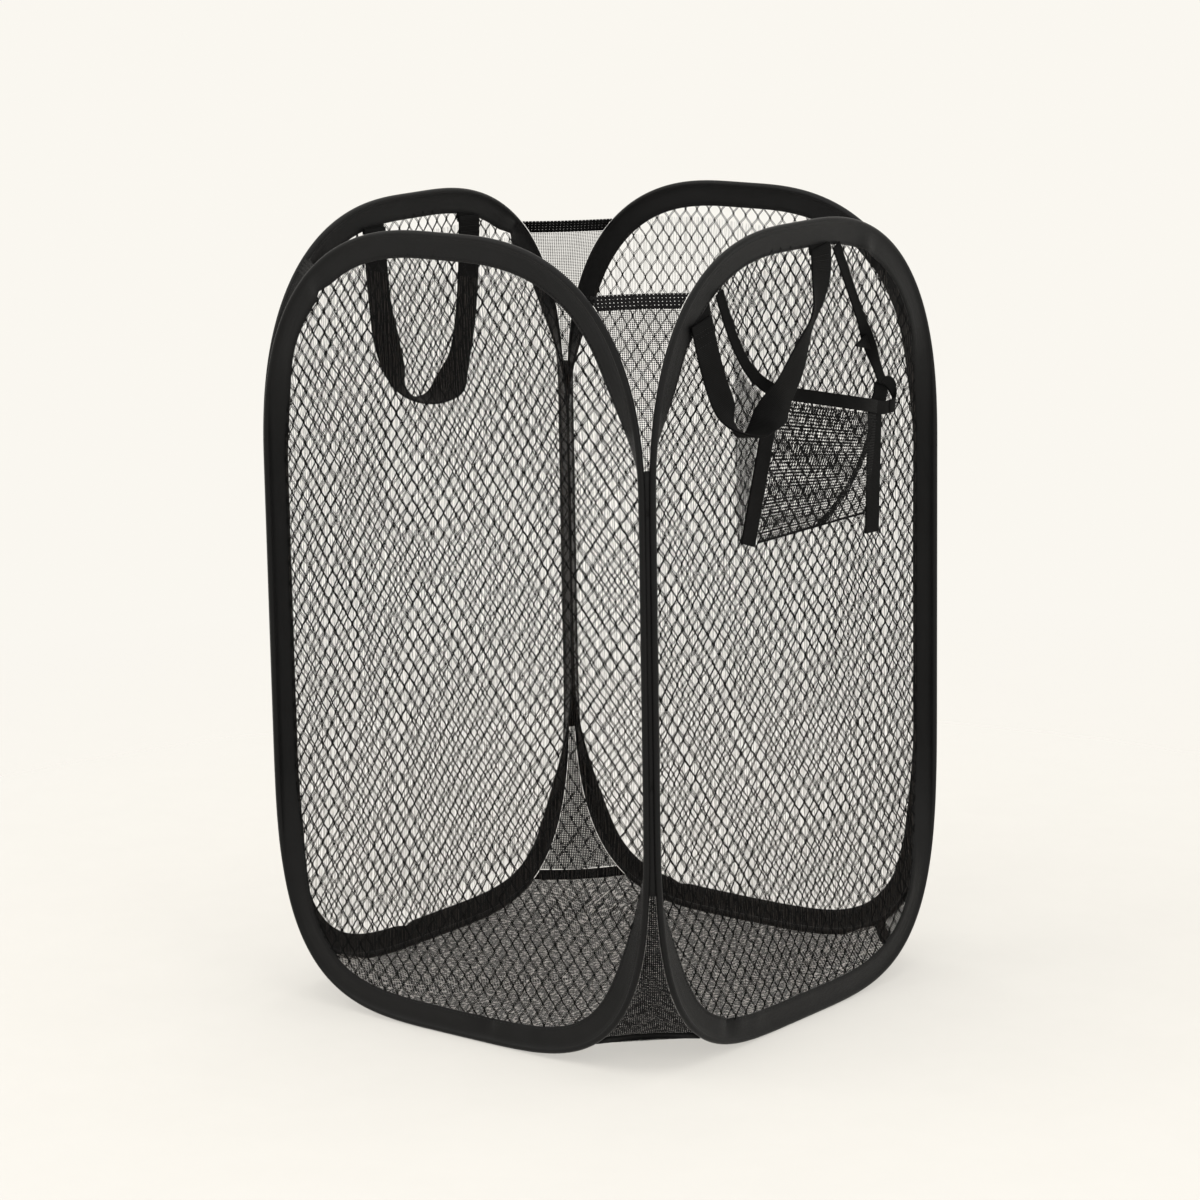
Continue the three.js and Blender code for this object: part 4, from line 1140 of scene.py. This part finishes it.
side_rows = []
for rise in np.linspace(0, 1, 20):
    row = []
    for across in np.linspace(0, 1, 12):
        top = left_strap(SIDE_FIRST + (SIDE_LAST - SIDE_FIRST) * across) - np.array([0, 0, SIDE_DROP])
        foot_u = POCKET_LEFT_FOOT_U - POCKET_INSET - SIDE_FOOT_WIDTH * (1 - across)
        foot = np.array([foot_u, -POCKET_ROOT_DEPTH, POCKET_BOTTOM_Z])
        point = foot + (top - foot) * rise
        row.append(point - np.array([0, 0.5 * abs(math.sin(9 * across + 6 * rise)), 0]))
    side_rows.append(row)
pocket_side = grid("pocket_side", world(side_rows), POCKET_SIDE_CLOTH, (300, 0))
attach(pocket_side, "right_panel", ["pocket_side_mesh"])

for name, share, tail, extra in (("left", 0.0, 0.0, 0.0), ("right", 1.0, BINDING_TAIL, RIGHT_BINDING_RISE)):
    top = rim_point(share) - np.array([0, 0, BINDING_DROP - extra])
    low = POCKET_BOTTOM_Z - tail
    path = []
    for rise in np.linspace(0, 1, 22):
        z = low + (top[2] - low) * rise
        y = -POCKET_ROOT_DEPTH + (top[1] + POCKET_ROOT_DEPTH) * rise * rise
        u = pocket_side_u(share, z)
        if extra:
            u += RIGHT_BINDING_SHIFT * float(smooth(z, RIM_RIGHT_Z - 5, RIM_RIGHT_Z + 12))
            y += RIGHT_BINDING_BACK
        path.append(np.array([u, y, z]))
    binding = strap(f"pocket_{name}_edge", path, [0.0] * len(path), BINDING_WIDTH, TAPE_THICKNESS, TAPE, 1)
    attach(binding, "right_panel", [f"pocket_{name}_binding"])

# The CAD wires and ferrules stay, in drawn steel
for name, node in frame["nodes"].items():
    if name.endswith("_hoop_wire") or name.endswith("_wire_ferrule"):
        for entry in node.material_slots:
            entry.link = "OBJECT"
            entry.material = STEEL

# Camera
AZIMUTH, ELEVATION, ROLL = (math.radians(d) for d in (38.22, 12.25, -0.94))
DISTANCE, FOCAL_PX, IMAGE_PX = 3.173, 4097.0, 1200
ca, sa, ce, se = math.cos(AZIMUTH), math.sin(AZIMUTH), math.cos(ELEVATION), math.sin(ELEVATION)
back = Vector((sa * ce, -ca * ce, se))
right = Vector((ca, sa, 0))
up = back.cross(right)
rolled_right = right * math.cos(ROLL) + up * math.sin(ROLL)
rolled_up = up * math.cos(ROLL) - right * math.sin(ROLL)
camera_data = bpy.data.cameras.new("camera")
camera_data.sensor_width = 36
camera_data.lens = FOCAL_PX * 36 / IMAGE_PX
camera_data.shift_x = -5.8 / IMAGE_PX
camera_data.shift_y = -1.11 / IMAGE_PX
camera = bpy.data.objects.new("camera", camera_data)
turn = Matrix((rolled_right, rolled_up, back)).transposed().to_4x4()
camera.matrix_world = Matrix.Translation(Vector((0, 0, 0.305)) + back * DISTANCE) @ turn
bpy.context.collection.objects.link(camera)
bpy.context.scene.camera = camera

# Stage: pale floor that fades into the background, and soft lights
BACKGROUND = (0.957, 0.931, 0.873)


def make_stage():
    material, tree, shader = new_material("studio_floor")
    vector = put(tree, "ShaderNodeTexCoord").outputs["Object"]
    reach = put(tree, "ShaderNodeVectorMath", {0: vector}, operation="LENGTH").outputs["Value"]
    shown = put(tree, "ShaderNodeMapRange", {0: reach, 1: 0.45, 2: 1.4, 3: 0.5, 4: 0.0}).outputs[0]
    tree.links.new(shown, shader.inputs["Alpha"])
    speckle = noise(tree, vector, 60)
    tree.links.new(ramp(tree, speckle, (0.90, 0.87, 0.81), (0.92, 0.89, 0.83)), shader.inputs["Base Color"])
    shader.inputs["Roughness"].default_value = 0.9
    shader.inputs["Specular IOR Level"].default_value = 0.1
    half = 2000.0
    corners = [(-half, -half, -0.6), (half, -half, -0.6), (half, half, -0.6), (-half, half, -0.6)]
    floor = mesh_object("floor", corners, [(0, 1, 2, 3)], None, material, is_smooth=False)
    world_data = bpy.data.worlds.new("studio")
    world_data.use_nodes = True
    tree = world_data.node_tree
    tree.nodes.clear()
    out = tree.nodes.new("ShaderNodeOutputWorld")
    path = put(tree, "ShaderNodeLightPath").outputs
    seen = math_node(tree, "MAXIMUM", path["Is Camera Ray"], path["Is Glossy Ray"])
    seen = math_node(tree, "MAXIMUM", seen, path["Is Transmission Ray"])
    backdrop = put(tree, "ShaderNodeBackground", {0: (*BACKGROUND, 1), 1: 1.0})
    fill = put(tree, "ShaderNodeBackground", {0: (1.0, 0.985, 0.96, 1), 1: 0.75})
    mix = put(tree, "ShaderNodeMixShader", {0: seen, 1: fill.outputs[0], 2: backdrop.outputs[0]})
    tree.links.new(mix.outputs[0], out.inputs[0])
    bpy.context.scene.world = world_data


def area_light(name, place, aim, size, power, color=(1, 1, 1)):
    data = bpy.data.lights.new(name, "AREA")
    data.shape = "RECTANGLE"
    data.size, data.size_y = size
    data.energy = power
    data.color = color
    light = bpy.data.objects.new(name, data)
    light.location = place
    light.rotation_euler = (Vector(aim) - Vector(place)).to_track_quat("-Z", "Y").to_euler()
    bpy.context.collection.objects.link(light)


make_stage()
area_light("key", (-1.2, -1.9, 2.4), (0, 0, 0.3), (2.4, 2.0), 28, (1.0, 0.98, 0.95))
area_light("fill", (2.6, -0.6, 1.3), (0, 0, 0.35), (1.8, 2.0), 13, (1.0, 0.99, 0.97))
area_light("top", (0.2, 0.5, 2.8), (0, 0, 0.2), (2.6, 2.6), 18)

scene = bpy.context.scene
scene.view_settings.view_transform = "Standard"

bpy.context.view_layer.update()
